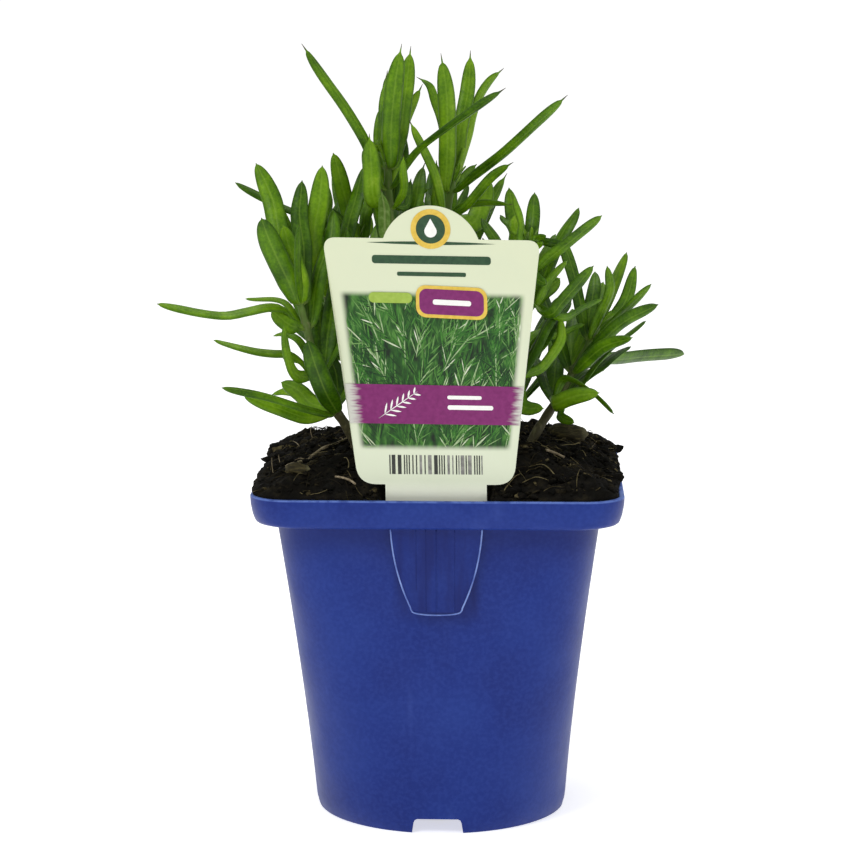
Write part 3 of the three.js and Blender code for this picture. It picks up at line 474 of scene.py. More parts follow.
def square_ring(half, radius):
    """The outline of a rounded square in plan, counted from +X towards +Y."""
    half = np.broadcast_to(half, (COLUMNS,))
    radius = np.broadcast_to(radius, (COLUMNS,))
    column = np.arange(COLUMNS)
    quadrant = column // CORNER_POINTS
    angle = HALF_STEP * (2 * (column % CORNER_POINTS) + 1) + quadrant * math.pi / 2
    inset = half - radius * math.cos(HALF_STEP)
    sign_x = np.where((quadrant == 0) | (quadrant == 3), 1, -1)
    sign_y = np.where(quadrant < 2, 1, -1)
    x = sign_x * inset + radius * np.cos(angle)
    y = sign_y * inset + radius * np.sin(angle)
    return np.stack([x, y], axis=1)


def at_height(ring, z):
    return np.column_stack([ring, np.full(len(ring), z)])


def square_lathe(rows):
    """A closed turned shape whose rings are rounded squares: rows of (half, z, corner radius)."""
    rings = [at_height(square_ring(half, radius), z) for half, z, radius in rows]
    return np.vstack(rings), capped_faces(len(rows), COLUMNS)


def wall_row(z, inset):
    rise = z / LEDGE_Z
    base = BASE_DIAMETER / 2
    half = base + (WALL_TOP_WIDTH / 2 - base) * rise**WALL_FLARE
    radius = base + (WALL_TOP_CORNER_RADIUS - base) * rise**WALL_SQUARING
    return (half - inset, z, min(radius, half) - inset)


def rim_row(z, inset):
    drop = (POT_HEIGHT - z) / RIM_BAND_HEIGHT
    half = RIM_WIDTH / 2 - RIM_BAND_TAPER * drop**2 - inset
    return (half, z, RIM_CORNER_RADIUS - inset)


def filleted(rows):
    """Rounds a profile: rows of (half, z, corner radius, fillet radius)."""
    rounded = []
    for index, (half, z, corner, fillet) in enumerate(rows):
        here = vec(half, z, corner)
        if fillet == 0 or index in (0, len(rows) - 1):
            rounded.append(here)
            continue
        before, after = vec(*rows[index - 1][:3]), vec(*rows[index + 1][:3])
        reach_in = min(0.45, fillet / max(np.linalg.norm((before - here)[:2]), 1e-6))
        reach_out = min(0.45, fillet / max(np.linalg.norm((after - here)[:2]), 1e-6))
        start, end = mix(here, before, reach_in), mix(here, after, reach_out)
        for share in (0, 0.25, 0.5, 0.75, 1):
            rounded.append(mix(mix(start, here, share), mix(here, end, share), share))
    return rounded


def pot_profile():
    foot = BASE_DIAMETER / 2
    inside = foot - FOOT_WIDTH
    heights = [3, 6, 10, 15, 20, 26, 32, 38, 44, 50, 56, 62, 68, 74, 79, 83]
    ledge = LEDGE_Z + WALL_THICKNESS
    return filleted([
        (3, FLOOR_LIFT, 3, 0),
        (inside - 0.6, FLOOR_LIFT, inside - 0.6, 0.8),
        (inside, 0, inside, 0.4),
        (foot - 0.3, 0, foot - 0.3, 0.35),
        *[(*wall_row(z, 0), 0) for z in heights],
        (*wall_row(LEDGE_Z, 0), 0.9),
        (*rim_row(LEDGE_Z, 0), 1.5),
        (*rim_row(LEDGE_Z + 3, 0), 0),
        (*rim_row(LEDGE_Z + 5.5, 0), 0),
        (*rim_row(POT_HEIGHT, 0), 0.5),
        (*rim_row(POT_HEIGHT, RIM_THICKNESS), 0.5),
        (*rim_row(ledge, RIM_THICKNESS), 0.8),
        (wall_row(LEDGE_Z, WALL_THICKNESS)[0], ledge, WALL_TOP_CORNER_RADIUS, 0.8),
        *[(*wall_row(z, WALL_THICKNESS), 0) for z in reversed(heights[2:])],
        (*wall_row(FLOOR_TOP, WALL_THICKNESS), 1.0),
        (3, FLOOR_TOP, 3, 0),
    ])


POCKET_TOP = LEDGE_Z + 0.5
POCKET_BOTTOM = LEDGE_Z - POCKET_HEIGHT
LABEL_LEAN = (wall_row(POCKET_BOTTOM, 0)[0] + LABEL_OFF_WALL_LOW + LABEL_Y_AT_RIM) / (
    POCKET_BOTTOM - POT_HEIGHT
)


def label_y(x, z):
    """How far forward the label's middle plane stands at a place of its own outline."""
    twist = LABEL_TWIST * smoothstep(z - POT_HEIGHT, 0, LABEL_TWIST_HEIGHT)
    return LABEL_Y_AT_RIM - LABEL_LEAN * (z - POT_HEIGHT) - twist * x


def on_label(places, lift):
    """Places (x, z) of the label's outline, laid on its plane and lifted towards the front."""
    x, z = places[:, 0], places[:, 1]
    shift = LABEL_SHIFT * np.maximum(0, z - POT_HEIGHT)
    return np.column_stack([x + shift, label_y(x, z) - lift, z])


def bezier(start, control, end, steps=8):
    shares = np.linspace(0, 1, steps + 1)[1:, None]
    start, control, end = vec(*start), vec(*control), vec(*end)
    return mix(mix(start, control, shares), mix(control, end, shares), shares).tolist()


def filled(outline, spacing=None):
    """An outline's points and triangles, with a grid of points inside it if spacing is given."""
    outline = np.array(outline, float)
    count = len(outline)
    points = [Vector(p) for p in outline]
    edges = [(i, (i + 1) % count) for i in range(count)]
    if spacing:
        low, high = outline.min(0), outline.max(0)
        for x in np.arange(low[0] + spacing / 2, high[0], spacing):
            for z in np.arange(low[1] + spacing / 2, high[1], spacing):
                points.append(Vector((x, z)))
    result = geometry.delaunay_2d_cdt(points, edges, [list(range(count))], 1, 1e-5)
    used = sorted({corner for face in result[2] for corner in face})
    number = {corner: i for i, corner in enumerate(used)}
    places = np.array([tuple(result[0][corner]) for corner in used])
    faces = [tuple(number[corner] for corner in face) for face in result[2]]
    borders = {}
    for face in faces:
        for a, b in zip(face, face[1:] + face[:1]):
            if (b, a) in borders:
                del borders[(b, a)]
            else:
                borders[(a, b)] = True
    return places, faces, list(borders)


def sheet(outline, front, back, spacing=None):
    """A thin solid on the label's plane, between two depths measured towards the back."""
    places, faces, borders = filled(outline, spacing)
    count = len(places)
    points = np.vstack([on_label(places, -front), on_label(places, -back)])
    area = sum(np.cross(places[f[1]] - places[f[0]], places[f[2]] - places[f[0]]) for f in faces)
    if area < 0:
        faces = [tuple(reversed(face)) for face in faces]
        borders = [(b, a) for a, b in borders]
    solid = list(faces)
    solid += [tuple(corner + count for corner in reversed(face)) for face in faces]
    solid += [(b, a, a + count, b + count) for a, b in borders]
    return points, solid


def shield(top_width, bottom_width, top, bottom):
    bulge = bottom + (top - bottom) * 0.45
    outline = [(-bottom_width / 2, bottom), (bottom_width / 2, bottom)]
    right = (bottom_width / 2, bottom), (top_width / 2 - 0.6, bulge), (top_width / 2, top)
    left = (-top_width / 2, top), (0.6 - top_width / 2, bulge), (-bottom_width / 2, bottom)
    outline += bezier(*right, steps=14)
    outline += [(-top_width / 2, top)]
    outline += bezier(*left, steps=14)[:-1]
    return outline


def apply_modifiers(target):
    graph = bpy.context.evaluated_depsgraph_get()
    mesh = bpy.data.meshes.new_from_object(target.evaluated_get(graph))
    target.modifiers.clear()
    target.data = mesh


def combine(target, others, operation):
    """Cuts the other objects from the target or joins them to it, and removes them."""
    for other in others:
        modifier = target.modifiers.new("combine", "BOOLEAN")
        modifier.operation = operation
        modifier.solver = "EXACT"
        modifier.object = other
    apply_modifiers(target)
    for other in others:
        bpy.data.objects.remove(other)


def solid_object(name, points, faces):
    """A closed object with all its faces turned outwards."""
    made = make_object(name, points, faces)
    shape = bmesh.new()
    shape.from_mesh(made.data)
    bmesh.ops.recalc_face_normals(shape, faces=shape.faces)
    shape.to_mesh(made.data)
    shape.free()
    return made


def notch_tool(turn):
    half = NOTCH_WIDTH / 2
    right = [
        (half + 0.4, -1),
        (half - 0.2, NOTCH_HEIGHT - 1.1),
        (half - 0.5, NOTCH_HEIGHT - 0.35),
        (half - 1.2, NOTCH_HEIGHT),
    ]
    left = [(-x, z) for x, z in right]
    outline = left[:1] + right + left[:0:-1]
    near, far = -BASE_DIAMETER / 2 - 4, -BASE_DIAMETER / 2 + 8
    c, s = math.cos(turn), math.sin(turn)
    points = [(x * c - y * s, x * s + y * c, z) for y in (near, far) for x, z in outline]
    return solid_object("notch", points, capped_faces(2, len(outline)))


def hole_tool(turn):
    centre = DRAIN_CIRCLE_DIAMETER / 2 * vec(math.cos(turn), math.sin(turn))
    ends = [(*centre, FLOOR_LIFT - 2), (*centre, FLOOR_TOP + 2)]
    return solid_object("hole", *tube(ends, DRAIN_HOLE_DIAMETER / 2, 28))


def pot_look():
    look = Look("pot_plastic", 0.42, 0.2)
    x, y, z = (look.axis(name) for name in "XYZ")
    cloud = look.noise(22, 4)
    fine = look.noise(1.1, 3)
    base = look.ramp(cloud, (0.3, (8, 34, 110)), (0.5, (13, 40, 118)), (0.72, (21, 48, 126)))
    mottled = look.blend(look.between(fine, 0.35, 0.7, 0.0, 0.2), base, (44, 68, 150))
    scuff = look.noise(9, 5, stretch=(1.0, 1.0, 0.18))
    scuffed = look.blend(look.between(scuff, 0.62, 0.76, 0.0, 0.2), mottled, (62, 84, 158))
    # A lighter blue along the rim's top edge, broken up by noise: a painted highlight where the rounded
    # edge catches the light.
    highlight_breakup = look.noise(2.4, 3)
    top_edge_highlight = look.between(z, (POT_HEIGHT - 0.6) * MM, (POT_HEIGHT - 0.22) * MM)
    edge = look.times(top_edge_highlight, look.between(highlight_breakup, 0.3, 0.55, 0.35, 0.9))
    edged = look.blend(edge, scuffed, (92, 118, 190))
    ledge = LEDGE_Z * MM
    # Painted shade: a darker blue just under the rim's ledge, strongest right below it.
    under_rim = look.between(z, ledge + 0.0002, ledge - 0.0002)
    below = look.times(under_rim, look.between(z, ledge - 0.016, ledge))
    # Painted shade on the label pocket and below its bottom edge, in streaks, on the pot's front under
    # the ledge.
    half = POCKET_TOP_WIDTH / 2
    middle = look.between(look.absolute(x), (half + 0.2) * MM, (half - 2.6) * MM)
    within = look.times(middle, look.between(y, 0.0, -0.03))
    low = look.between(z, (POCKET_BOTTOM - 4.8) * MM, (POCKET_BOTTOM + 0.2) * MM)
    pocket = look.times(within, low)
    streaks = look.noise(3.5, 4, stretch=(1.0, 1.0, 0.12))
    pocket_shade = look.times(pocket, look.between(streaks, 0.3, 0.65, 0.25, 0.75))
    # The painted shade under the ledge and on the pocket, mixed in as a dark blue below the ledge.
    shade = look.math("MAXIMUM", look.times(below, 0.5), pocket_shade)
    shaded = look.blend(look.times(shade, under_rim), edged, (5, 20, 88))
    look.set("Base Color", shaded)
    rough = look.ramp(look.noise(14, 4), (0.3, 0.36), (0.7, 0.5))
    look.set("Roughness", rough)
    look.bump((look.noise(0.7, 2), 0.02), (look.noise(16, 2), 0.25))
    return look.material


# A lighter blue for the thin tube along the pocket's sides and bottom: a painted highlight where the
# pocket's rounded edge catches the light.
def edge_highlight_look():
    look = Look("pocket_edge_highlight", 0.35, 0.4)
    look.set("Base Color", look.ramp(look.noise(5, 3), (0.3, (64, 88, 164)), (0.7, (128, 152, 212))))
    look.bump((look.noise(0.6, 2), 0.02))
    return look.material


def add_pot():
    made = solid_object("pot_body", *square_lathe(pot_profile()))
    tools = [notch_tool(i * 2 * math.pi / NOTCH_COUNT) for i in range(NOTCH_COUNT)]
    tools += [hole_tool((i + 0.5) * 2 * math.pi / DRAIN_HOLE_COUNT) for i in range(DRAIN_HOLE_COUNT)]
    inner_face = -LABEL_THICKNESS / 2 - CLEARANCE
    rim = 2 * WALL_THICKNESS
    hollow = shield(
        POCKET_TOP_WIDTH - rim,
        POCKET_BOTTOM_WIDTH - rim,
        POCKET_TOP + WALL_THICKNESS + 1,
        POCKET_BOTTOM + WALL_THICKNESS,
    )
    shell_outline = shield(POCKET_TOP_WIDTH, POCKET_BOTTOM_WIDTH, POCKET_TOP, POCKET_BOTTOM)
    shell = sheet(shell_outline, inner_face - WALL_THICKNESS, 1.4)
    tools.append(solid_object("hollow", *sheet(hollow, inner_face, 4.2)))
    combine(made, [solid_object("shell", *shell)], "UNION")
    combine(made, tools, "DIFFERENCE")
    bevel = made.modifiers.new("edges", "BEVEL")
    bevel.width = 0.3 * MM
    bevel.segments = 2
    bevel.limit_method = "ANGLE"
    bevel.angle_limit = math.radians(50)
    apply_modifiers(made)
    made.data.shade_smooth()
    made.data.set_sharp_from_angle(angle=math.radians(42))
    made.data.materials.clear()
    made.data.materials.append(pot_look())
    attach(made, "root")
    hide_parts("pot")

    # A thin tube along the pocket's outline, in a lighter blue: a painted highlight on the pocket's
    # edge.
    front = inner_face - WALL_THICKNESS
    sides = np.array(shell_outline[1:16])
    path = np.vstack([sides[::-1], sides * vec(-1, 1)])
    path[:, 1] = np.minimum(path[:, 1], LEDGE_Z - 0.1)
    highlight_line = Curve(on_label(path, -front)).spaced(90)
    add_piece("pocket_edge_highlight", [bar(highlight_line, 0.22, 8)], [edge_highlight_look()])

    heights = np.linspace(POCKET_BOTTOM + 0.2, LEDGE_Z - 0.2, 24)
    ribs = []
    for x, thick in ((0.0, 0.16), (-5.4, 0.1), (4.9, 0.1), (-2.8, 0.08)):
        reach = heights if abs(x) < 5 else heights[6:]
        line = on_label(np.column_stack([np.full(len(reach), x), reach]), -front)
        ribs.append(bar(line, thick, 6))
    add_piece("pocket_seam", ribs, [made.data.materials[0]])


# ------------------------------------------------------------------ plant label
def label_outline():
    top_half = LABEL_TOP_WIDTH / 2
    bottom_half = LABEL_BOTTOM_WIDTH / 2
    stem_half = LABEL_STEM_WIDTH / 2
    foot_half = LABEL_FOOT_WIDTH / 2
    pocket_half = POCKET_TOP_WIDTH / 2 - WALL_THICKNESS - CLEARANCE - 1
    top = LABEL_BODY_TOP
    bottom = LABEL_BODY_BOTTOM
    foot = POCKET_BOTTOM + WALL_THICKNESS + CLEARANCE + 0.6
    mouth = LEDGE_Z + WALL_THICKNESS + CLEARANCE
    radius = LABEL_HEAD_RADIUS
    centre = LABEL_BODY_TOP + LABEL_HEAD_RISE - LABEL_HEAD_RADIUS
    angle = math.asin((top - centre) / radius)
    corner = LABEL_BOTTOM_CORNER
    right = [(foot_half, foot)]
    right += bezier((foot_half, foot), (pocket_half - 0.5, foot + 9), (pocket_half, mouth))
    right += [(stem_half, POT_HEIGHT - 2), (stem_half, bottom), (bottom_half - corner, bottom)]
    side_foot = (bottom_half + 0.6, bottom + corner)
    right += bezier((bottom_half - corner, bottom), (bottom_half, bottom), side_foot)
    side_top = (top_half - 0.2, top - LABEL_TOP_CORNER)
    right += [side_top]
    right += bezier(side_top, (top_half, top), (top_half - LABEL_TOP_CORNER, top))
    for share in np.linspace(0, 1, 17):
        turn = mix(angle, math.pi / 2, share)
        right.append((radius * math.cos(turn), centre + radius * math.sin(turn)))
    left = [(-x, z) for x, z in reversed(right[:-1])]
    return right + left


def rounded_box(low_x, low_z, high_x, high_z, radius, slant=0.0):
    """A rounded rectangle. slant raises it by that much per millimetre to the right."""
    outline = []
    centres = [
        (high_x - radius, high_z - radius, 0),
        (low_x + radius, high_z - radius, 90),
        (low_x + radius, low_z + radius, 180),
        (high_x - radius, low_z + radius, 270),
    ]
    for x, z, start in centres:
        for degrees in range(start, start + 91, 15):
            turn = math.radians(degrees)
            outline.append((x + radius * math.cos(turn), z + radius * math.sin(turn)))
    return [(x, z + slant * x) for x, z in outline]


def lens(start, end, width, fullness=0.5):
    """A slim leaf shape between two places."""
    start, end = vec(*start), vec(*end)
    along = end - start
    side = vec(-along[1], along[0]) / np.linalg.norm(along)
    middle = mix(start, end, fullness)
    ctrl_a, ctrl_b = middle + side * width, middle - side * width
    return [tuple(start)] + bezier(start, ctrl_a, end, 5) + bezier(end, ctrl_b, start, 5)[:-1]


def print_part(outline, lift, material, spacing=None, tone=0.0):
    """A printed area: a thin film a little proud of the label's face."""
    places, faces, _ = filled(outline, spacing)
    points = on_label(places, LABEL_THICKNESS / 2 + lift)
    f = faces[0]
    normal = np.cross(points[f[1]] - points[f[0]], points[f[2]] - points[f[0]])
    if normal[1] > 0:
        faces = [tuple(reversed(face)) for face in faces]
    return part(points, faces, material, tone=tone)


PICTURE_TUFTS = 210
PICTURE_LOW = 108.6
PICTURE_HIGH = 150.0
PICTURE_HALF = 19.6  # half its width at its lower edge
PICTURE_FLARE = 0.105  # and how much wider it gets for each millimetre upwards
BAND_LOW = 115.2
BAND_HIGH = 125.7
CIRCLE_STEPS = 40
BAR_COUNT = 26
BARS_LEFT = -12.2
BARS_WIDTH = 24.6
BARS_LOW = 101.6
BARS_HIGH = 106.8


def label_look():
    look = Look("label_plastic", 0.34, 0.25)
    x, z = look.axis("X"), look.axis("Z")
    # The base tone is a touch lighter towards the bottom: painted light against the shade there.
    base = look.ramp(
        look.between(z, 0.1, 0.165),
        (0.0, (212, 219, 194)), (0.5, (210, 216, 189)), (1.0, (211, 217, 186)),
    )
    cloud = look.blend(look.between(look.noise(12, 3), 0.4, 0.7, 0.0, 0.25), base, (205, 213, 186))
    # The stem below the label's body is painted much lighter: painted light that offsets the shade near
    # the mix.
    stem = look.between(z, (LABEL_BODY_BOTTOM + 1.7) * MM, (LABEL_BODY_BOTTOM - 3.3) * MM)
    cloud = look.blend(stem, cloud, (248, 251, 230))
    middle = look.math("MULTIPLY_ADD", look.minus(z, POT_HEIGHT * MM), LABEL_SHIFT, 0.0)
    off_middle = look.absolute(look.minus(x, middle))
    above = look.minus(z, PICTURE_LOW * MM)
    half = look.math("MULTIPLY_ADD", above, PICTURE_FLARE, PICTURE_HALF * MM)
    spare = look.minus(half, off_middle)
    sides = look.between(spare, -0.0008, 0.0014)
    low = look.between(z, (PICTURE_LOW - 0.8) * MM, (PICTURE_LOW + 1.2) * MM)
    high = look.between(z, (PICTURE_HIGH + 0.8) * MM, (PICTURE_HIGH - 1.2) * MM)
    area = look.times(sides, look.times(low, high))
    front = look.node("ShaderNodeSeparateXYZ", {0: look.node("ShaderNodeNewGeometry").outputs["Normal"]})
    facing = look.between(front.outputs["Y"], -0.5, -0.7)
    picture = look.ramp(
        look.noise(2.6, 5, stretch=(1.6, 1.0, 0.6)),
        (0.34, (10, 30, 10)), (0.5, (34, 80, 22)), (0.66, (74, 126, 48)),
    )
    printed = look.blend(look.times(area, facing), cloud, picture)
    look.set("Base Color", printed)
    look.set("Roughness", look.ramp(look.noise(6, 3), (0.3, 0.28), (0.7, 0.4)))
    look.bump((look.noise(0.5, 2), 0.008), (look.noise(18, 2), 0.12))
    return look.material


def band_look():
    """The purple band's ink, brushed out at both ends."""
    look = Look("ink_band", 0.33, 0.25)
    z = look.axis("Z")
    inner = look.ramp(look.noise(1.2, 3), (0.3, (112, 26, 92)), (0.7, (126, 38, 104)))
    off_middle = look.absolute(look.axis("X"))
    streaks = look.noise(1.1, 4, stretch=(0.3, 1.0, 2.0))
    ragged = look.math("MULTIPLY_ADD", streaks, 0.0052, -0.0026)
    reach = look.minus(off_middle, look.times(look.minus(z, 0.12), 0.1))
    faded = look.between(look.plus(reach, ragged), 0.0196, 0.0226)
    look.set("Base Color", look.blend(faded, inner, (196, 196, 186)))
    return look.material


def ink(name, *stops):
    look = Look(name, 0.33, 0.25)
    look.set("Base Color", look.ramp(look.noise(1.2, 3), *stops))
    look.bump((look.noise(0.5, 2), 0.006))
    return look.material


def needle_look():
    look = Look("printed_needles", 0.33, 0.25)
    tone = look.plus(look.value("tone"), look.ripple(0.3, 1.5, 2))
    colour = look.ramp(
        tone,
        (0.0, (10, 32, 12)), (0.3, (26, 76, 22)), (0.55, (58, 118, 36)),
        (0.76, (112, 150, 84)), (0.9, (172, 190, 150)), (0.95, (208, 216, 190)), (1.0, (208, 216, 190)),
    )
    look.set("Base Color", colour)
    return look.material


def picture_needles():
    """The printed foliage: slim needles that fan upwards and fade out towards the picture's edges."""
    parts = []
    lift = 0.02

    def inside(place):
        """How far a place is inside the picture's nearest edge."""
        x, z = place
        side = PICTURE_HALF + PICTURE_FLARE * (z - PICTURE_LOW) - abs(x)
        return min(side, z - PICTURE_LOW, PICTURE_HIGH - z)

    def draw(root, end, width, tone):
        nonlocal lift
        edge = min(inside(root), inside(end))
        if edge > 0.1:
            lift += 0.00004
            fade = 0.93 * (1 - smoothstep(edge, 0, 1.3))
            parts.append(print_part(lens(root, end, width), lift, 0, tone=min(0.93, max(tone, fade))))

    for number in range(PICTURE_TUFTS):
        share = number / PICTURE_TUFTS
        foot = RANDOM.uniform(vec(-24, PICTURE_LOW - 6), vec(24, PICTURE_HIGH - 4))
        lean = RANDOM.normal(0.0, 0.3) + 0.6 * math.sin(foot[0] * 0.13 + 0.4)
        along = vec(math.sin(lean), math.cos(lean))
        tall = RANDOM.uniform(6, 15)
        bright = RANDOM.uniform() > 0.78
        base = 0.08 + 0.5 * share * RANDOM.uniform(0.3, 1.2) + 0.2 * bright
        for step in range(int(tall * 1.5)):
            place = foot + along * (step / 1.5 + RANDOM.uniform(-0.3, 0.3))
            spread = (-1) ** step * RANDOM.uniform(0.25, 0.7) * (1 - 0.5 * step / (tall * 1.5))
            length = RANDOM.uniform(2.6, 6.4)
            end = place + length * vec(math.sin(lean + spread), math.cos(lean + spread))
            pale = 0.3 * (RANDOM.uniform() > 0.88)
            draw(place, end, RANDOM.uniform(0.2, 0.42), base + RANDOM.normal(0, 0.13) + pale)
        if bright:
            draw(foot, foot + along * tall, 0.36, 0.82)
    return parts


def add_label():
    outline = label_outline()
    body = part(*sheet(outline, -LABEL_THICKNESS / 2, LABEL_THICKNESS / 2, 2.2))
    label = add_piece("plant_label_sheet", [body], [label_look()], ["plant_label"])
    label.data.set_sharp_from_angle(angle=math.radians(40))
    add_piece("label_picture", picture_needles(), [needle_look()], smooth=False)

    materials = [
        ink("ink_purple", (0.3, (112, 26, 92)), (0.7, (126, 38, 104))),
        ink("ink_green", (0.3, (36, 66, 44)), (0.7, (48, 80, 52))),
        ink("ink_gold", (0.3, (206, 172, 62)), (0.7, (222, 190, 84))),
        ink("ink_dark", (0.3, (40, 42, 40)), (0.7, (58, 60, 56))),
        ink("ink_white", (0.3, (232, 232, 226)), (0.7, (240, 240, 236))),
        ink("ink_lime", (0.3, (140, 168, 60)), (0.7, (158, 184, 78))),
        band_look(),
        ink("ink_grey", (0.3, (104, 104, 100)), (0.7, (146, 146, 140))),
    ]
    purple, green, gold, dark, white, lime, brushed, grey = range(len(materials))
    parts = []

    def half_at(z):
        """Half the label's width at a height of its body."""
        foot = LABEL_BODY_BOTTOM + LABEL_BOTTOM_CORNER
        share = (z - foot) / (LABEL_BODY_TOP - LABEL_TOP_CORNER - foot)
        return mix(LABEL_BOTTOM_WIDTH / 2 + 0.6, LABEL_TOP_WIDTH / 2 - 0.2, share)

    def put(outline, lift, tint, spacing=None):
        """Prints an outline in one ink, its film that far above the sheet."""
        parts.append(print_part(outline, lift, tint, spacing))

    low, high = BAND_LOW, BAND_HIGH
    band = [(-half_at(low) + 0.1, low), (half_at(low) - 0.1, low)]
    band += [(half_at(high) - 0.1, high), (-half_at(high) + 0.1, high)]
    put(band, 0.18, brushed, 1.4)
    for start, end, width in sprig_icon():
        put(lens(start, end, width, 0.55), 0.22, white)
    put(rounded_box(3.5, 119.2, 15.5, 120.4, 0.55), 0.22, white)
    put(rounded_box(3.5, 122.0, 12.5, 123.0, 0.45), 0.22, white)

    put(lens((-16.9, 163.3), (16.9, 163.3), 0.9), 0.05, green)
    put(rounded_box(-15.5, 157.8, 15.5, 160.0, 0.8), 0.05, green)
    put(rounded_box(-9.0, 154.6, 9.0, 155.7, 0.4), 0.05, green)

    put(rounded_box(-4.2, 143.7, 14.4, 152.2, 2.6, -0.03), 0.17, gold, 1.4)
    put(rounded_box(-3.3, 144.6, 13.5, 151.3, 2.0, -0.03), 0.21, purple, 1.4)
    put(rounded_box(0.2, 147.2, 10.2, 148.6, 0.6, -0.03), 0.25, white, 1.4)
    put(rounded_box(-16.6, 147.4, -5.2, 150.2, 1.3), 0.17, lime, 1.4)

    put(circle((0, 167.0), 5.2), 0.08, gold)
    put(circle((0, 167.0), 3.8), 0.11, green)
    put(drop((0, 166.4), 1.6), 0.14, white)

    x, low, high = BARS_LEFT, BARS_LOW, BARS_HIGH
    widths = RANDOM.choice([0.32, 0.32, 0.64, 0.96], BAR_COUNT)
    gaps = RANDOM.choice([0.32, 0.32, 0.64], BAR_COUNT)
    scale = BARS_WIDTH / (widths.sum() + gaps[:-1].sum())
    for wide, gap in zip(widths * scale, gaps * scale):
        tint = grey if RANDOM.uniform() > 0.62 else dark
        put([(x, low), (x + wide, low), (x + wide, high), (x, high)], 0.05, tint)
        x += wide + gap
    add_piece("label_print", parts, materials, smooth=False)


def circle(centre, radius):
    turns = np.arange(CIRCLE_STEPS) * 2 * math.pi / CIRCLE_STEPS
    return [(centre[0] + radius * math.cos(t), centre[1] + radius * math.sin(t)) for t in turns]


def drop(centre, radius):
    """A plain drop with its point upwards."""
    x, z = centre
    turns = [math.radians(degrees) for degrees in range(-210, 31, 12)]
    outline = [(x + radius * math.cos(turn), z + radius * math.sin(turn)) for turn in turns]
    return outline + [(x, z + radius * 2.1)]


def sprig_icon():
    """A small sprig: a stem and pairs of needles, as (start, end, width)."""
    shapes = [((-15.0, 116.4), (-4.0, 124.2), 0.25)]
    x, z = unit(vec(11.0, 7.8))
    for step in range(6):
        root = vec(-14.0, 117.1) + vec(x, z) * (1.1 + 1.9 * step)
        for turn in (0.75, -0.75):
            c, s = math.cos(turn), math.sin(turn)
            way = vec(x * c - z * s, x * s + z * c)
            shapes.append((root, root + way * (3.2 - 0.25 * step), 0.5))
    return shapes


# ------------------------------------------------------------------ potting mix
SOIL_COLUMNS = 380
CRUMB_COUNT = 2600
FIBRE_COUNT = 520


def lumps(x, y):
    broad = np.sin(x * 0.17 + 0.8) * np.cos(y * 0.13 - 0.4)
    return 0.9 * broad + 0.5 * np.sin(x * 0.41 - y * 0.37 + 1.9)


def soil_z(x, y):
    """The height of the mix's surface, as in the CAD."""
    fall = np.maximum(np.abs(x), np.abs(y)) / (RIM_WIDTH / 2)
    cover = 1 - np.minimum(1, fall) ** 3
    edge = POT_HEIGHT - SOIL_BELOW_RIM
    return edge + SOIL_MOUND * cover + lumps(x, y) * np.minimum(1, 3 * cover)


def soil_spill(x, y):
    """How far the mix lies over the rim's top edge, by the bearing: none at the front."""
    bearing = math.degrees(math.atan2(y, x))
    uneven = 0.5 + 0.5 * fractal((x, y, 0), 7, 2, 3.1)
    left = smoothstep(abs(bearing), 130, 150) if y < 0 else 1.0
    if x < 0:
        return 1.9 * left * (0.75 + 0.5 * uneven) if y < 12 else 1.5 * (0.7 + 0.6 * uneven)
    right = smoothstep(bearing, -38, -12)
    return 1.45 * right * (0.7 + 0.5 * uneven)


def label_dip(x, y, height):
    """How much of a height is taken off in front of the label's stem, where it was pushed in."""
    beside = 1 - smoothstep(abs(x + 0.3), LABEL_STEM_WIDTH / 2 + 0.4, LABEL_STEM_WIDTH / 2 + 2.2)
    return beside * smoothstep(-y, 38.5, 40.5) * max(0.0, height - (POT_HEIGHT - 2.4))


def soil_look():
    look = Look("potting_mix", 0.9, 0.08)
    tone = look.plus(look.value("tone"), look.ripple(0.9, 2.2, 5))
    colour = look.ramp(
        tone,
        (0.0, (7, 7, 5)), (0.35, (17, 15, 11)), (0.55, (34, 30, 20)),
        (0.78, (68, 60, 38)), (1.0, (122, 112, 80)),
    )
    look.set("Base Color", colour)
    look.set("Roughness", look.ramp(look.noise(3, 3), (0.35, 0.72), (0.6, 0.97)))
    look.bump((look.noise(0.45, 4, roughness=0.7), 0.22), (look.cells(1.3), 0.3))
    return look.material


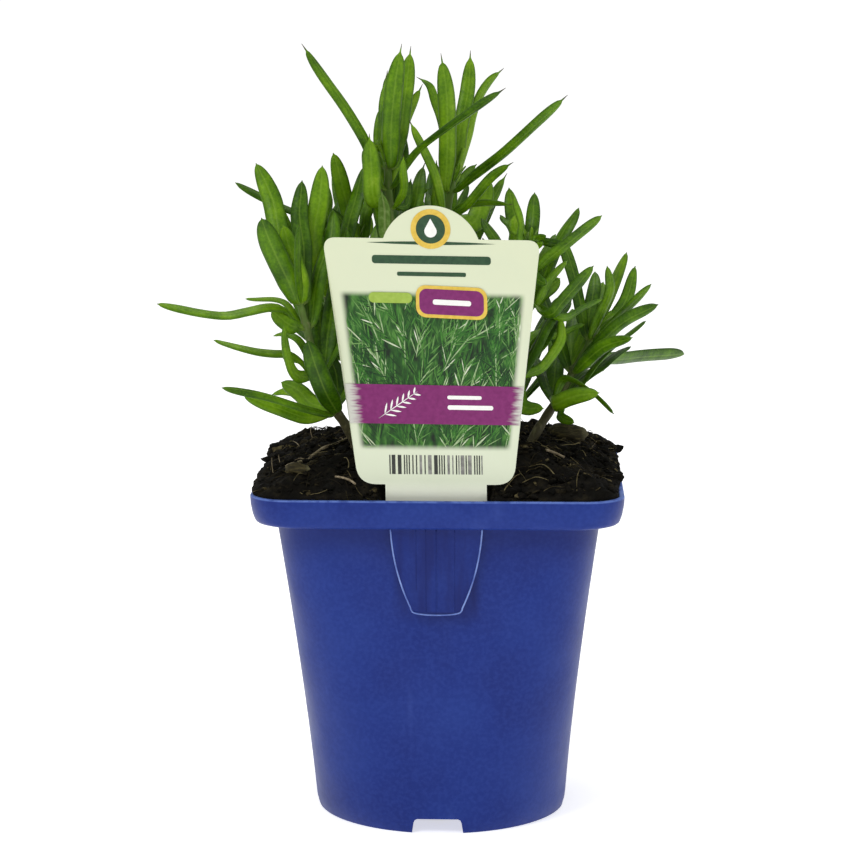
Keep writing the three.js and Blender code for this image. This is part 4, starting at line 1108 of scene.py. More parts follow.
def soil_surface():
    """The heap's rough top, spread over the rim at the sides and the back."""
    inner = rim_row(POT_HEIGHT - SOIL_BELOW_RIM, RIM_THICKNESS)
    base = square_ring(inner[0], inner[2])
    closed = np.vstack([base, base[:1]])
    so_far = np.concatenate([[0], np.cumsum(np.linalg.norm(np.diff(closed, axis=0), axis=1))])
    places = np.linspace(0, so_far[-1], SOIL_COLUMNS, endpoint=False)
    steps = np.interp(places, so_far, range(len(closed)))

    def stepped(ring):
        """A ring of COLUMNS places, cut into SOIL_COLUMNS even steps."""
        ring = np.vstack([ring, ring[:1]])
        return np.column_stack([np.interp(steps, range(len(ring)), ring[:, k]) for k in (0, 1)])

    edge = stepped(base)
    outward = unit(edge)
    spill = np.array([soil_spill(x, y) for x, y in edge])
    border = edge + outward * spill[:, None]
    rows = []
    shares = np.concatenate([np.linspace(0.01, 0.9, 78), np.linspace(0.912, 1, 11)])
    for share in shares:
        row = []
        for (x, y), over in zip(border * share, spill):
            height = float(soil_z(x * 0.985, y * 0.985))
            clods, grains = fractal((x, y, 0), 5.2, 3, 1.2), abs(fractal((x, y, 4), 2.1, 3, 7.7))
            rough = 1.1 * clods + 0.8 * grains
            lift = over * 0.55 * smoothstep(share, 0.9, 0.975)
            front = 1 - smoothstep(share, 0.93, 1.0) * (1 if over < 0.4 else 0.45)
            uneven = rough * (0.25 + 0.75 * front) - 0.25
            raised = height + lift + uneven
            row.append((x, y, raised - label_dip(x, y, raised)))
        rows.append(np.array(row))
    skirt = rows[-1].copy()
    skirt[:, 2] = np.where(spill > 0.4, POT_HEIGHT + 0.02, POT_HEIGHT - 1.4)
    below = at_height(edge * 0.994, POT_HEIGHT - 2.0)
    rows += [skirt, below]
    for z in (LEDGE_Z + 1.8, 78, 62, 46, 30, 16, FLOOR_TOP + CLEARANCE):
        half, _, radius = wall_row(min(z, LEDGE_Z), WALL_THICKNESS + CLEARANCE)
        rows.append(at_height(stepped(square_ring(half, radius)), z))
    faces = [tuple(reversed(face)) for face in capped_faces(len(rows), len(edge))]
    points = np.vstack(rows)
    tone = [0.34 + 0.2 * fractal(p, 9, 2, 5.0) for p in points]
    return part(points, faces, tone=tone)


def lump(place, size, turn, tilt, seed, rough, rings, sides):
    """An uneven lump at a place, with its three half sizes."""
    points, faces = ball(rings, sides)
    bulge = np.array([1 + rough * fractal(p, 0.9, 2, seed) for p in points])[:, None]
    points = points * bulge * vec(*size)
    c, s = math.cos(tilt), math.sin(tilt)
    points = points @ np.array([[1, 0, 0], [0, c, s], [0, -s, c]])
    c, s = math.cos(turn), math.sin(turn)
    points = points @ np.array([[c, s, 0], [-s, c, 0], [0, 0, 1]])
    return points + vec(*place), faces


def surface_places(count, spread):
    """Places over the heap, denser towards its edge where it is seen, and over the rim."""
    half = RIM_WIDTH / 2
    made = []
    while len(made) < count:
        x, y = RANDOM.uniform(-half, half, 2)
        reach = max(abs(x), abs(y)) / half
        corner = math.hypot(max(0, abs(x) - 39), max(0, abs(y) - 39))
        if corner > 9.0 + (1.6 if y > -20 else -0.6) or reach > 1.0:
            continue
        if reach > 0.965 and (y < -30 or RANDOM.uniform() > spread):
            continue
        if RANDOM.uniform() > 0.35 + 0.65 * reach:
            continue
        made.append((x, y))
    return made


def heap_z(x, y):
    """The rough surface's height, over the rim too."""
    reach = max(abs(x), abs(y)) / (RIM_WIDTH / 2)
    over = 1.0 if reach > 0.96 and y > -30 else 0.0
    rough = 0.55 * abs(fractal((x, y, 4), 2.1, 3, 7.7))
    height = float(soil_z(x, y)) + rough + 0.35 * over
    return height - label_dip(x, y, height)


def add_mix():
    look = soil_look()
    add_piece("potting_mix_heap", [soil_surface()], [look], ["potting_mix"])

    crumbs = []
    for number, (x, y) in enumerate(surface_places(CRUMB_COUNT, 0.8)):
        if label_dip(x, y, POT_HEIGHT) > 0.2:
            continue
        size = min(RANDOM.lognormal(-0.62, 0.45), 2.0)
        size *= 1.0 + 0.7 * smoothstep(max(abs(x), abs(y)) / RIM_WIDTH, 0.42, 0.48)
        half = (size, size * RANDOM.uniform(0.55, 0.95), size * RANDOM.uniform(0.4, 0.75))
        place = (x, y, heap_z(x, y) + 0.15 * size)
        turn, tilt = RANDOM.uniform(0, 6.3), RANDOM.uniform(-0.5, 0.5)
        points, faces = lump(place, half, turn, tilt, number * 0.37, 0.6, 5, 7)
        tone = RANDOM.choice([0.16, 0.3, 0.42, 0.56, 0.8], p=[0.3, 0.32, 0.22, 0.12, 0.04])
        crumbs.append(part(points, faces, tone=tone))
    add_piece("potting_mix_crumbs", crumbs, [look])

    fibres = []
    for number, (x, y) in enumerate(surface_places(FIBRE_COUNT, 0.6)):
        if label_dip(x, y, POT_HEIGHT) > 0.2:
            continue
        length = RANDOM.uniform(3, 13)
        bearing = RANDOM.uniform(0, 2 * math.pi)
        bend = RANDOM.normal(0, 0.5)
        path = []
        for share in np.linspace(0, 1, 7):
            turn = bearing + bend * share
            px, py = x + length * share * math.cos(turn), y + length * share * math.sin(turn)
            limit = RIM_WIDTH / 2 - 1.2
            px, py = max(-limit, min(limit, px)), max(-limit, min(limit, py))
            path.append((px, py, heap_z(px, py) + 0.5 + 0.7 * math.sin(3.1 * share + number)))
        radius = RANDOM.uniform(0.07, 0.2) * (1 - 0.6 * np.linspace(0, 1, 13))
        tone = RANDOM.choice([0.4, 0.6, 0.82, 1.0], p=[0.35, 0.35, 0.2, 0.1])
        fibres.append(bar(Curve(path).at(np.linspace(0, 1, 13)), radius, 5, tone=tone))
    add_piece("potting_mix_fibres", fibres, [look])


def bark_look():
    look = Look("bark", 0.85, 0.25)
    grain = look.noise(1.6, 5, stretch=(0.35, 1.6, 2.4), roughness=0.65)
    colour = look.ramp(
        grain,
        (0.3, (24, 21, 12)), (0.5, (52, 46, 26)), (0.64, (84, 76, 45)), (0.8, (124, 116, 78)),
    )
    look.set("Base Color", look.blend(look.value("end"), colour, (132, 126, 92)))
    look.bump((grain, 0.35), (look.noise(0.5, 3), 0.1))
    return look.material


BARK = [
    {"name": "bark_chip_1", "place": (-37.5, -37), "size": (3.4, 2.4, 1.6), "turn": 0.2, "sink": 1.2},
    {"name": "bark_chip_2", "place": (-33.6, -26), "size": (2.4, 1.2, 0.9), "turn": 0.5, "sink": 0.6},
    {"name": "bark_chip_3", "place": (-27.5, -22), "size": (1.5, 1.1, 0.8), "turn": 0.1, "sink": 0.5},
    {"name": "bark_chunk", "place": (35, 20), "size": (6, 4.4, 2.8), "turn": -0.1, "sink": 2},
]
ROOT_RADIUS = 0.45
ROOT_PLAN = [(-41.3, -26), (-37, -17), (-32, -8), (-26.5, -1), (-23, 4)]


def add_bark():
    look = bark_look()
    for number, chip in enumerate(BARK):
        x, y = chip["place"]
        size = chip["size"]
        centre = (x, y, float(soil_z(x, y)) + size[2] - chip["sink"] + 0.3)
        points, faces = lump(centre, size, chip["turn"], 0.1, 11.0 + number, 0.22, 22, 34)
        fine = np.array([fractal(p, 1.1, 3, 2.0 + number) for p in points])
        away = unit(points - vec(*centre))
        points = points + away * (0.13 * fine * size[2] ** 0.5)[:, None]
        reach = (points[:, 0] - x) / size[0]
        end = smoothstep(reach, 0.62, 0.9) * (0.8 if number == 0 else 0.25)
        fine_chip = part(points, faces, end=end)
        add_piece(chip["name"] + "_fine", [fine_chip], [look], [chip["name"]])


def root_look():
    look = Look("root", 0.8, 0.3)
    colour = look.ramp(
        look.noise(1.4, 4), (0.3, (108, 94, 72)), (0.55, (150, 136, 110)), (0.8, (184, 172, 148))
    )
    look.set("Base Color", colour)
    look.bump((look.noise(0.5, 4), 0.08))
    return look.material


def add_roots():
    look = root_look()
    places = [(x, y, heap_z(x, y) + ROOT_RADIUS + 0.5) for x, y in ROOT_PLAN]
    shares = np.linspace(0, 1, 60)
    path = Curve(places).at(shares)
    path[:, 2] += 0.25 * np.sin(shares * 17)
    radius = ROOT_RADIUS * (1.0 - 0.45 * shares) * (1 + 0.12 * np.sin(shares * 41))
    parts = [bar(path, radius, 10)]
    for share, x, y in ((0.25, -3.0, 1.5), (0.45, 2.6, 3.4), (0.7, -1.6, 3.2), (0.85, 3.4, 0.4)):
        start = Curve(places).at(share)[0]
        tip = start + vec(x, y, -0.4)
        middle = mix(start, tip, 0.5) + vec(0.3, -0.4, 0.6)
        hair = Curve([start, middle, tip]).at(np.linspace(0, 1, 12))
        parts.append(bar(hair, np.linspace(0.16, 0.05, 12), 6))
    add_piece("root_strand_fine", parts, [look], ["root_strand"])

    loose = [
        ([(-45.5, -20), (-45.9, -19.2), (-46.0, -18.4)], 4.0, 0.16),
        ([(-40.5, 10), (-41.4, 10.6), (-42.6, 11.0)], 3.4, 0.15),
        ([(-44.5, -6), (-45.1, -5.2), (-45.4, -4.0)], 3.2, 0.14),
        ([(-38, 24), (-38.6, 24.4), (-38.4, 25.0)], 3.6, 0.15),
        ([(36.5, 26), (37.4, 26.6), (38.8, 26.4)], 4.2, 0.2),
        ([(42, 20), (42.8, 20.4), (43.8, 20.0)], 3.0, 0.16),
    ]
    tips = []
    for plan, rise, thick in loose:
        rises = rise * vec(0.0, 0.55, 1.0)
        points = [(x, y, float(soil_z(x, y)) + up) for (x, y), up in zip(plan, rises)]
        path = Curve(points).at(np.linspace(0, 1, 10))
        tips.append(bar(path, np.linspace(thick, 0.06, 10), 6))
    twig = [(29.0, -20.5), (31.5, -18.8), (34.0, -17.9)]
    strand = [(-27.0, -41.5), (-25.0, -42.6), (-23.0, -43.4), (-21.5, -43.8)]
    for plan, lift, thick in ((twig, 0.8, 0.38), (strand, 0.9, 0.3)):
        points = [(x, y, heap_z(x, y) + lift) for x, y in plan]
        tips.append(bar(Curve(points).at(np.linspace(0, 1, 12)), thick, 8))
    add_piece("loose_roots", tips, [look])


# ------------------------------------------------------------------ setting out the sprigs
def spot(place):
    """A place of the front elevation, [x, z] on the plane y = 0, moved to its depth y."""
    x, z, y = place
    drawn = vec(x, 0, z)
    return EYE + (drawn - EYE) * (1 - y / EYE[1])


def leaf(width, turn, *spots, fullness=None):
    """A drawn leaf. Its fine shape may have a fullness of its own against the CAD's bar."""
    return {"width": width, "turn": turn, "spots": spots, "fullness": fullness}


def fan(count, start, end, length, rise, width):
    """Leaves that fan out from a stem by rule, between two bearings in degrees."""
    return {"count": count, "from": start, "to": end, "length": length, "rise": rise, "width": width}


def whorl(at, *leaves):
    """The leaves that leave a stem at one share of its length."""
    return {"at": at, "leaves": leaves}


def sprig(name, radius, stem, *whorls):
    """A stem through places [x, z, y], and the whorls on it."""
    return {"name": name, "radius": radius, "stem": stem, "whorls": whorls}


SPRIGS = [
    sprig(
        "left",
        1.5,
        [
            [-20, 92, -16], [-26, 106, -21], [-31, 114, -25],
            [-35, 125, -28], [-38.5, 138, -29], [-40, 144, -29],
        ],
        whorl(
            0.36,
            leaf(4, 15, [-38, 109.6, -30], [-44.5, 111.6, -34], [-55.6, 115.8, -38], fullness=0.92),
            leaf(3.6, 58, [-37, 112, -34], [-50.4, 116, -42], [-61.6, 117.9, -46], fullness=0.95),
            leaf(4.2, 10, [-36.3, 113.5, -20], [-40.3, 117.3, -17], [-45, 119.6, -14]),
            leaf(2.4, 25, [-37, 114.5, -12], [-43, 117.2, -8], [-47.5, 116, -6]),
            leaf(5, 0, [-32.5, 117, -33], [-35.5, 125, -36], [-37.5, 131.5, -37]),
            fan(2, 40, 100, 34, 50, 4),
        ),
        whorl(
            0.56,
            leaf(3.4, 68, [-41, 127.2, -28], [-50, 128.2, -30], [-63.7, 131.3, -30]),
            leaf(3, 45, [-40.6, 121.5, -36], [-43.2, 128.5, -40], [-44, 135.5, -42]),
            leaf(2.2, 40, [-40, 131.6, -22], [-44, 133.2, -20], [-47, 132.5, -19]),
            fan(3, 10, 110, 34, 56, 4),
        ),
        whorl(
            0.76,
            leaf(3.4, 60, [-43, 139.6, -32], [-49, 140.7, -38], [-60, 138.4, -44], [-79.4, 141.4, -52]),
            leaf(3.6, 15, [-42, 135.4, -33], [-47.5, 139.5, -36]),
            leaf(2.6, 65, [-44, 142.3, -22], [-54.7, 142.9, -18]),
            fan(2, 40, 120, 30, 60, 3.8),
        ),
        whorl(
            0.95,
            leaf(5.4, 5, [-42.5, 155, -26], [-47, 171, -22], [-51.4, 180.6, -19], fullness=1.02),
            leaf(5, 0, [-43.6, 150.5, -34], [-48, 159.5, -38], [-50, 165.5, -40], fullness=1.25),
            leaf(4.6, 10, [-40.6, 150, -31], [-42.6, 158, -32], [-44, 163.5, -33]),
            leaf(2.4, 55, [-39.8, 152, -37], [-39.5, 163.5, -40]),
            fan(2, 60, 140, 26, 64, 3.6),
        ),
    ),
    sprig(
        "left_upper",
        1.4,
        [
            [-12, 92, -6], [-18, 107, -9], [-25, 123, -12],
            [-30.5, 138, -13], [-33, 151, -13], [-33.5, 160, -12],
        ],
        whorl(
            0.45,
            leaf(3.6, 20, [-33, 131, -6], [-39, 141, 0], [-42, 148, 4]),
            fan(4, 20, 170, 34, 52, 4),
        ),
        whorl(
            0.7,
            leaf(4.8, 5, [-33.6, 152, -19], [-34, 166, -21], [-33, 180, -20]),
            leaf(3.6, 20, [-36, 150, -8], [-44, 163, -4]),
            fan(3, 30, 130, 32, 58, 4),
        ),
        whorl(
            0.93,
            leaf(3, 60, [-36.3, 164.3, -14], [-46, 169.5, -15], [-57.2, 175.2, -16]),
            leaf(2.6, 58, [-36.5, 158.8, -8], [-44, 165, -5]),
            leaf(2.6, 40, [-32.5, 166, -10], [-30.5, 172, -8]),
            fan(2, 60, 150, 20, 62, 3),
        ),
    ),
    sprig(
        "inner_left",
        1.3,
        [[-8, 92, 6], [-11, 108, 7], [-17, 128, 6], [-21.5, 146, 3], [-23.5, 159, 1]],
        whorl(0.4, fan(5, 50, 190, 36, 48, 4)),
        whorl(0.66, fan(5, 40, 200, 34, 54, 4)),
        whorl(
            0.95,
            leaf(4, 15, [-26, 169, -3], [-30, 183.5, -6]),
            leaf(2.6, 62, [-24.4, 165, 2], [-25.6, 172, 5]),
            leaf(2.6, 30, [-27, 162, -2], [-30.5, 168.5, -4]),
            leaf(2.8, 20, [-21.4, 164, 6], [-22.2, 170.7, 9]),
            fan(2, 60, 120, 22, 58, 3),
        ),
    ),
    sprig(
        "tall_left",
        1.6,
        [
            [-4, 92, -10], [-6, 108, -10], [-10, 132, -9],
            [-13.5, 156, -8], [-14.6, 170, -7], [-15, 181, -7],
        ],
        whorl(0.36, fan(3, 60, 120, 32, 46, 4), fan(2, 240, 300, 24, 50, 3.6)),
        whorl(0.56, fan(3, 50, 130, 32, 52, 4), fan(2, 235, 305, 24, 58, 3.6)),
        whorl(
            0.78,
            leaf(5, 5, [-18.6, 170, -12], [-19.5, 180, -14], [-20, 188.8, -15]),
            leaf(2.4, 30, [-9.8, 169, -4], [-8.5, 176.5, -1]),
            leaf(2.4, 20, [-10.5, 173, -11], [-10.3, 183, -13]),
            leaf(2.4, 35, [-10, 169, 1], [-7, 172, 4], [-2.5, 174, 7]),
            fan(2, 60, 120, 26, 60, 3.6),
        ),
        whorl(
            0.88,
            leaf(4, 50, [-20, 185, -11], [-26, 195.5, -13], [-32, 204, -14], [-38.5, 213.3, -15]),
            leaf(3.2, 10, [-16.5, 184, -3], [-17, 197, 1]),
            leaf(3, 35, [-12, 185, -3], [-9.5, 193, 0], [-5.3, 202.3, 3]),
            leaf(3.4, 62, [-8, 182.5, -13], [-2, 187.5, -17], [6, 193.2, -21], [17.5, 201.3, -25]),
            leaf(2.6, 30, [-15.4, 192, 3], [-15, 206, 8]),
            fan(1, 80, 100, 24, 66, 3.4),
        ),
        whorl(
            0.985,
            leaf(5, 5, [-14, 190, -10], [-12.8, 203, -12], [-11, 213.3, -12]),
            leaf(4.6, 12, [-12, 190, -5], [-9.8, 202, -2], [-8.5, 212.7, 0]),
            leaf(2.4, 20, [-15.6, 188, -7], [-15.2, 194, -8]),
        ),
    ),
    sprig(
        "tall_right",
        1.6,
        [[5, 92, 2], [4, 108, 3], [2, 130, 4], [0.8, 152, 5], [1.4, 166, 5], [3, 176, 5]],
        whorl(0.36, fan(4, 30, 140, 34, 46, 4), fan(1, 250, 290, 22, 50, 3.4)),
        whorl(0.58, fan(4, 40, 150, 32, 52, 4), fan(1, 250, 290, 24, 55, 3.4)),
        whorl(
            0.8,
            leaf(3, 58, [5, 168.3, 2], [11, 169.6, -1], [19.4, 169.3, -4]),
            leaf(2.8, 30, [7, 169, -3], [14, 177, -8], [19.7, 181, -11]),
            leaf(5.6, 5, [8, 164, 12], [12, 172, 16], [13, 178, 18]),
            leaf(3, 25, [10, 165, 20], [18, 178, 26]),
            leaf(2.8, 30, [0, 170, 0], [-2, 178, -4], [-9, 192.5, -9]),
            leaf(2.6, 35, [-1.5, 171, 6], [-1.5, 181.5, 9]),
        ),
        whorl(
            0.95,
            leaf(4.8, 5, [1.6, 188, 1], [1.2, 200, -2], [-0.3, 210.7, -3]),
            leaf(4.2, 5, [5.6, 190, 9], [7.4, 203, 13], [7.8, 211.5, 14]),
            leaf(2.8, 40, [0.4, 190, 8], [-1.8, 197.5, 11], [-4, 203, 12], [-7, 204.3, 13]),
            leaf(3, 48, [6.4, 185, 9], [9, 195.5, 14], [12.3, 202, 17], [17, 206.7, 19]),
            leaf(3.6, 48, [9, 177.2, 0], [17, 183.4, -6], [25, 190.7, -11], [34.5, 199.4, -15]),
            leaf(2.2, 30, [6, 177, 10], [9.7, 180.5, 13]),
        ),
    ),
    sprig(
        "right_upper",
        1.4,
        [
            [12, 92, -12], [15, 106, -12], [20, 122, -12],
            [23.5, 138, -11], [24.5, 150, -11], [24, 158, -11],
        ],
        whorl(
            0.4,
            leaf(2.6, 25, [28, 124, -8], [32, 131, -5], [32.5, 139, -3]),
            leaf(2.6, 62, [26, 130, -4], [32, 133, 0], [40, 136, 4]),
            leaf(3.6, 8, [22.5, 113.2, -20], [28.5, 112.5, -23]),
            fan(5, 10, 130, 30, 40, 4),
        ),
        whorl(
            0.66,
            leaf(3.2, 35, [29, 138.2, -15], [34.5, 143.8, -18], [42, 152.5, -21]),
            leaf(4, 8, [28, 145, -6], [32.8, 149, -3]),
            leaf(2.4, 50, [33, 137.6, -8], [40, 141, -7], [44.5, 143.2, -6]),
            leaf(2.4, 45, [29, 147, -12], [34.7, 153.9, -14]),
            fan(4, 20, 150, 28, 48, 3.8),
        ),
        whorl(
            0.84,
            leaf(3.2, 38, [27.5, 152.8, -12], [35.3, 159.1, -14], [44.2, 166.4, -16]),
            leaf(2.4, 20, [26.2, 149, -17], [29, 147.2, -21]),
            fan(2, 60, 160, 24, 58, 3.4),
        ),
        whorl(
            0.975,
            leaf(2.4, 35, [27, 158.6, -9], [34, 157.8, -6]),
            leaf(2, 20, [25.4, 159.4, -13], [28.8, 160.8, -16]),
            leaf(2.4, 50, [22, 165, -13], [19.7, 171.4, -14]),
            leaf(3, 15, [21.5, 161.5, -8], [20.3, 166.5, -7]),
        ),
    ),
    sprig(
        "right_low",
        1.4,
        [[20, 92, 0], [26, 105, 3], [31.5, 114, 5], [36, 122, 6], [40, 129, 7], [43.5, 136, 8]],
        whorl(
            0.42,
            leaf(4, 8, [31, 113.6, -4], [37, 116, -8], [44, 117, -10]),
            leaf(2.8, 60, [34, 120.8, 0], [40, 118.3, -4], [45, 114, -7], [48, 111, -8]),
            leaf(2.4, 25, [33, 110.4, 0], [37, 108.5, -3]),
            fan(5, -10, 130, 30, 34, 4),
        ),
        whorl(
            0.64,
            leaf(3.8, 45, [43, 124.8, 16], [54, 127, 35], [67.4, 128, 54.5]),
            leaf(3.4, 20, [40.6, 126.4, 0], [45.4, 130.2, -4], [53, 132.5, -8]),
            leaf(3.4, 25, [42, 128.5, 2], [50, 136.6, -2], [60, 141.8, -5]),
            fan(4, 20, 140, 30, 44, 4),
        ),
        whorl(
            0.9,
            leaf(3.2, 20, [46.6, 137, 12], [51, 143, 16], [53.5, 152.5, 19]),
            leaf(2.6, 50, [46, 135.4, 4], [52, 141.2, 0], [58, 147.5, -3]),
            leaf(2.8, 35, [44.6, 140, 5], [46.8, 146, 3], [45.7, 152.5, 2]),
            fan(2, 70, 150, 26, 56, 3.6),
        ),
    ),
    sprig(
        "back_left", 1.4, [[-14, 92, 20], [-17, 106, 23], [-20, 120, 26], [-20, 136, 28]],
        whorl(0.5, fan(5, 60, 200, 36, 40, 4.2)),
        whorl(0.75, fan(5, 50, 170, 34, 48, 4.2)),
        whorl(0.97, fan(5, 20, 200, 26, 60, 3.8)),
    ),
    sprig(
        "back_middle", 1.4, [[2, 92, 18], [2, 106, 20], [1, 124, 24], [-1, 142, 27], [-2, 152, 28]],
        whorl(0.42, fan(5, 30, 150, 38, 42, 4.2)),
        whorl(0.7, fan(5, 10, 170, 34, 50, 4.2)),
        whorl(0.97, fan(5, 20, 160, 26, 62, 3.8)),
    ),
    sprig(
        "back_right", 1.4, [[14, 92, 22], [17, 106, 25], [19, 120, 28], [19, 134, 30]],
        whorl(0.5, fan(5, -20, 120, 34, 40, 4.2)),
        whorl(0.76, fan(5, 10, 130, 32, 48, 4.2)),
        whorl(0.97, fan(4, 0, 160, 24, 60, 3.8)),
    ),
]

# ------------------------------------------------------------------ leaf places, as in the CAD
GOLDEN = 0.618034
LEAF_SAMPLES = 8
UP = vec(0, 0, 1)
TO_FRONT = unit(vec(0, -1, 0.15))


def remainder(value):
    """The sign of the result is the value's, as in the CAD's source."""
    return math.fmod(value, 1)


def fan_leaves(base, entry):
    made = []
    for i in range(entry["count"]):
        share = (i + 0.5) / entry["count"]
        uneven = remainder((i + 1) * GOLDEN + base[0] * 0.13 + base[2] * 0.07)
        bearing = entry["from"] + (entry["to"] - entry["from"]) * share + 16 * (uneven - 0.5)
        bearing = math.radians(bearing)
        climb = math.radians(entry["rise"] + 22 * (uneven - 0.5))
        reach = entry["length"] * (0.82 + 0.36 * abs(uneven))
        out = vec(math.cos(bearing), math.sin(bearing), 0)
        along = out * math.cos(climb) + UP * math.sin(climb)
        middle = base + along * reach * 0.55 + UP * reach * 0.05
        tip = base + along * reach + UP * reach * (uneven - 0.6) * 0.2
        width = entry["width"] * (0.85 + 0.3 * abs(uneven))
        made.append({"width": width, "turn": 0, "facing": UP, "points": [middle, tip]})
    return made


def cad_outline(share):
    """The relative width along a CAD leaf."""
    growth = 0.26 + 0.74 * smoothstep(share, 0, 0.45)
    tip = np.sqrt(np.maximum(0.02, 1 - np.clip((share - 0.62) / 0.385, 0, 1) ** 2))
    return growth * tip


def stem_radius(sprig, share):
    return sprig["radius"] * (1 - STEM_TAPER * share)


def grow_blade(sprig, at, whorl, entry):
    centre = sprig["curve"].at(at)[0]
    tangent = sprig["curve"].tangents(at)[0]
    outwards = square_to(tangent, entry["points"][0] - centre)
    root = (stem_radius(sprig, at) + CLEARANCE) * RING_SLACK + LEAF_ROOT_DEPTH
    base = centre + outwards * root
    chain = Curve([base, *entry["points"]]).spaced(LEAF_SAMPLES)
    chord = unit(chain[-1] - chain[0])
    across = unit(np.cross(chord, entry["facing"]))
    across = rotated(across, chord, math.radians(entry["turn"]))
    heel = centre + outwards * stem_radius(sprig, at) * 0.55 - tangent * 0.9
    return {
        "whorl": whorl,
        "width": entry["width"],
        "points": chain,
        "across": across,
        "heel": heel,
        "drawn": "spots" in entry,
        "fullness": entry.get("fullness"),
        "sharp": sprig["name"].startswith("tall"),
    }


def grow_sprig(sprig):
    sprig["curve"] = Curve([spot(place) for place in sprig["stem"]])
    sprig["blades"] = []
    for number, whorl in enumerate(sprig["whorls"]):
        base = sprig["curve"].at(whorl["at"])[0]
        name = f"{sprig['name']}_leaves_{number + 1}"
        for entry in whorl["leaves"]:
            if "count" in entry:
                grown = fan_leaves(base, entry)
            else:
                points = [spot(place) for place in entry["spots"]]
                grown = [{**entry, "facing": TO_FRONT, "points": points}]
            for one in grown:
                sprig["blades"].append(grow_blade(sprig, whorl["at"], name, one))


EASE_ROUNDS = 60
EASE_REACH = 3.4
EASE_GAP = 0.75


def chain_tangents(chains):
    """The direction at each point of chains: (chains, points, 3)."""
    after = np.concatenate([chains[:, 1:], chains[:, -1:]], axis=1)
    before = np.concatenate([chains[:, :1], chains[:, :-1]], axis=1)
    return unit(after - before)


def half_sizes(wide, thick, half_width, direction):
    return half_width * np.abs((wide * direction).sum(-1)) + (LEAF_THICKNESS / 2) * np.abs(
        (thick * direction).sum(-1)
    )


def make_room(sprigs):
    """Eases the leaves apart, off the stems, behind the label and above the mix, as the CAD does."""
    blades = [blade for sprig in sprigs for blade in sprig["blades"]]
    points = np.array([blade["points"] for blade in blades])
    across = np.array([blade["across"] for blade in blades])
    count, samples = points.shape[:2]
    share = np.arange(samples) / (samples - 1)
    half_width = np.array([blade["width"] / 2 for blade in blades])[:, None] * cad_outline(share)
    whorls = [blade["whorl"] for blade in blades]
    same = np.array([[a == b for b in whorls] for a in whorls])
    owner = np.repeat(np.arange(count), samples)
    step = np.tile(np.arange(samples), count)
    first = np.where(same, 3, 1)

    stem_points, stem_tangents, stem_half = [], [], []
    for sprig in sprigs:
        path = sprig["curve"].spaced(41)
        stem_points.append(path)
        stem_tangents.append(chain_tangents(path[None])[0])
        stem_half.append(np.full(len(path), sprig["radius"]))
    stem_points, stem_tangents = np.vstack(stem_points), np.vstack(stem_tangents)
    stem_half = np.concatenate(stem_half)
    easing = np.minimum(1, np.arange(samples) / 2)[None, :, None]

    for _ in range(EASE_ROUNDS):
        tangents = chain_tangents(points)
        on_tangent = (across[:, None, :] * tangents).sum(-1, keepdims=True)
        wide = unit(across[:, None, :] - tangents * on_tangent)
        thick = np.cross(wide, tangents)
        moves = np.zeros_like(points)
        flat = points.reshape(-1, 3)
        flat_tangent = tangents.reshape(-1, 3)
        flat_wide, flat_thick = wide.reshape(-1, 3), thick.reshape(-1, 3)
        flat_half = half_width.reshape(-1)
        flat_moves = moves.reshape(-1, 3)

        def push_apart(a, b, b_points, b_tangents, b_half, stem):
            between = flat[a] - b_points[b]
            ta, tb = flat_tangent[a], b_tangents[b]
            cross = np.cross(ta, tb)
            weak = np.linalg.norm(cross, axis=1) < 0.35
            level = between - ta * (between * ta).sum(-1, keepdims=True)
            direction = unit(np.where(weak[:, None], level, cross))
            apart = (between * direction).sum(-1)
            rest = np.linalg.norm(between - direction * apart[:, None], axis=1)
            need = half_sizes(flat_wide[a], flat_thick[a], flat_half[a], direction) + EASE_GAP
            need = need + b_half(b, direction)
            use = (rest <= EASE_REACH) & (np.abs(apart) < need)
            push = np.where(apart < 0, -1, 1) * (need - np.abs(apart)) * 0.25
            shift = direction * (push * use)[:, None]
            np.add.at(flat_moves, a, shift * (2 if stem else 1))
            if not stem:
                np.add.at(flat_moves, b, -shift)

        def leaf_half_size(b, direction):
            return half_sizes(flat_wide[b], flat_thick[b], flat_half[b], direction)

        def stem_half_size(b, direction):
            return stem_half[b]

        gap = np.linalg.norm(flat[:, None] - flat[None], axis=2)
        a, b = np.nonzero(gap <= 2 * EASE_REACH)
        use = (owner[a] < owner[b]) & (step[a] >= first[owner[a], owner[b]])
        use &= step[b] >= first[owner[a], owner[b]]
        a, b = a[use], b[use]
        push_apart(a, b, flat, flat_tangent, leaf_half_size, False)

        gap = np.linalg.norm(flat[:, None] - stem_points[None], axis=2)
        a, b = np.nonzero(gap <= 2 * EASE_REACH)
        use = step[a] >= 1
        push_apart(a[use], b[use], stem_points, stem_tangents, stem_half_size, True)

        inner = slice(1, samples)
        half = half_sizes(wide, thick, half_width, UP)
        low = soil_z(points[..., 0], points[..., 1]) + half + 1.2 - points[..., 2]
        moves[:, inner, 2] += np.maximum(low, 0)[:, inner] * 0.5
        behind = np.abs(points[..., 0]) <= LABEL_TOP_WIDTH / 2 + 4
        behind &= points[..., 2] <= LABEL_BODY_TOP + LABEL_HEAD_RISE + 3
        depth = half_sizes(wide, thick, half_width, TO_FRONT)
        near = label_y(points[..., 0], points[..., 2]) + depth + 1.4 - points[..., 1]
        moves[:, inner, 1] += (np.maximum(near, 0) * behind)[:, inner] * 0.5

        before = moves[:, :-1]
        after = np.concatenate([moves[:, 2:], moves[:, -1:]], axis=1)
        eased = moves[:, 1:] * 0.5 + before * 0.25 + after * 0.25
        points[:, 1:] += eased * easing[:, 1:]

    for blade, chain in zip(blades, points):
        blade["points"] = chain


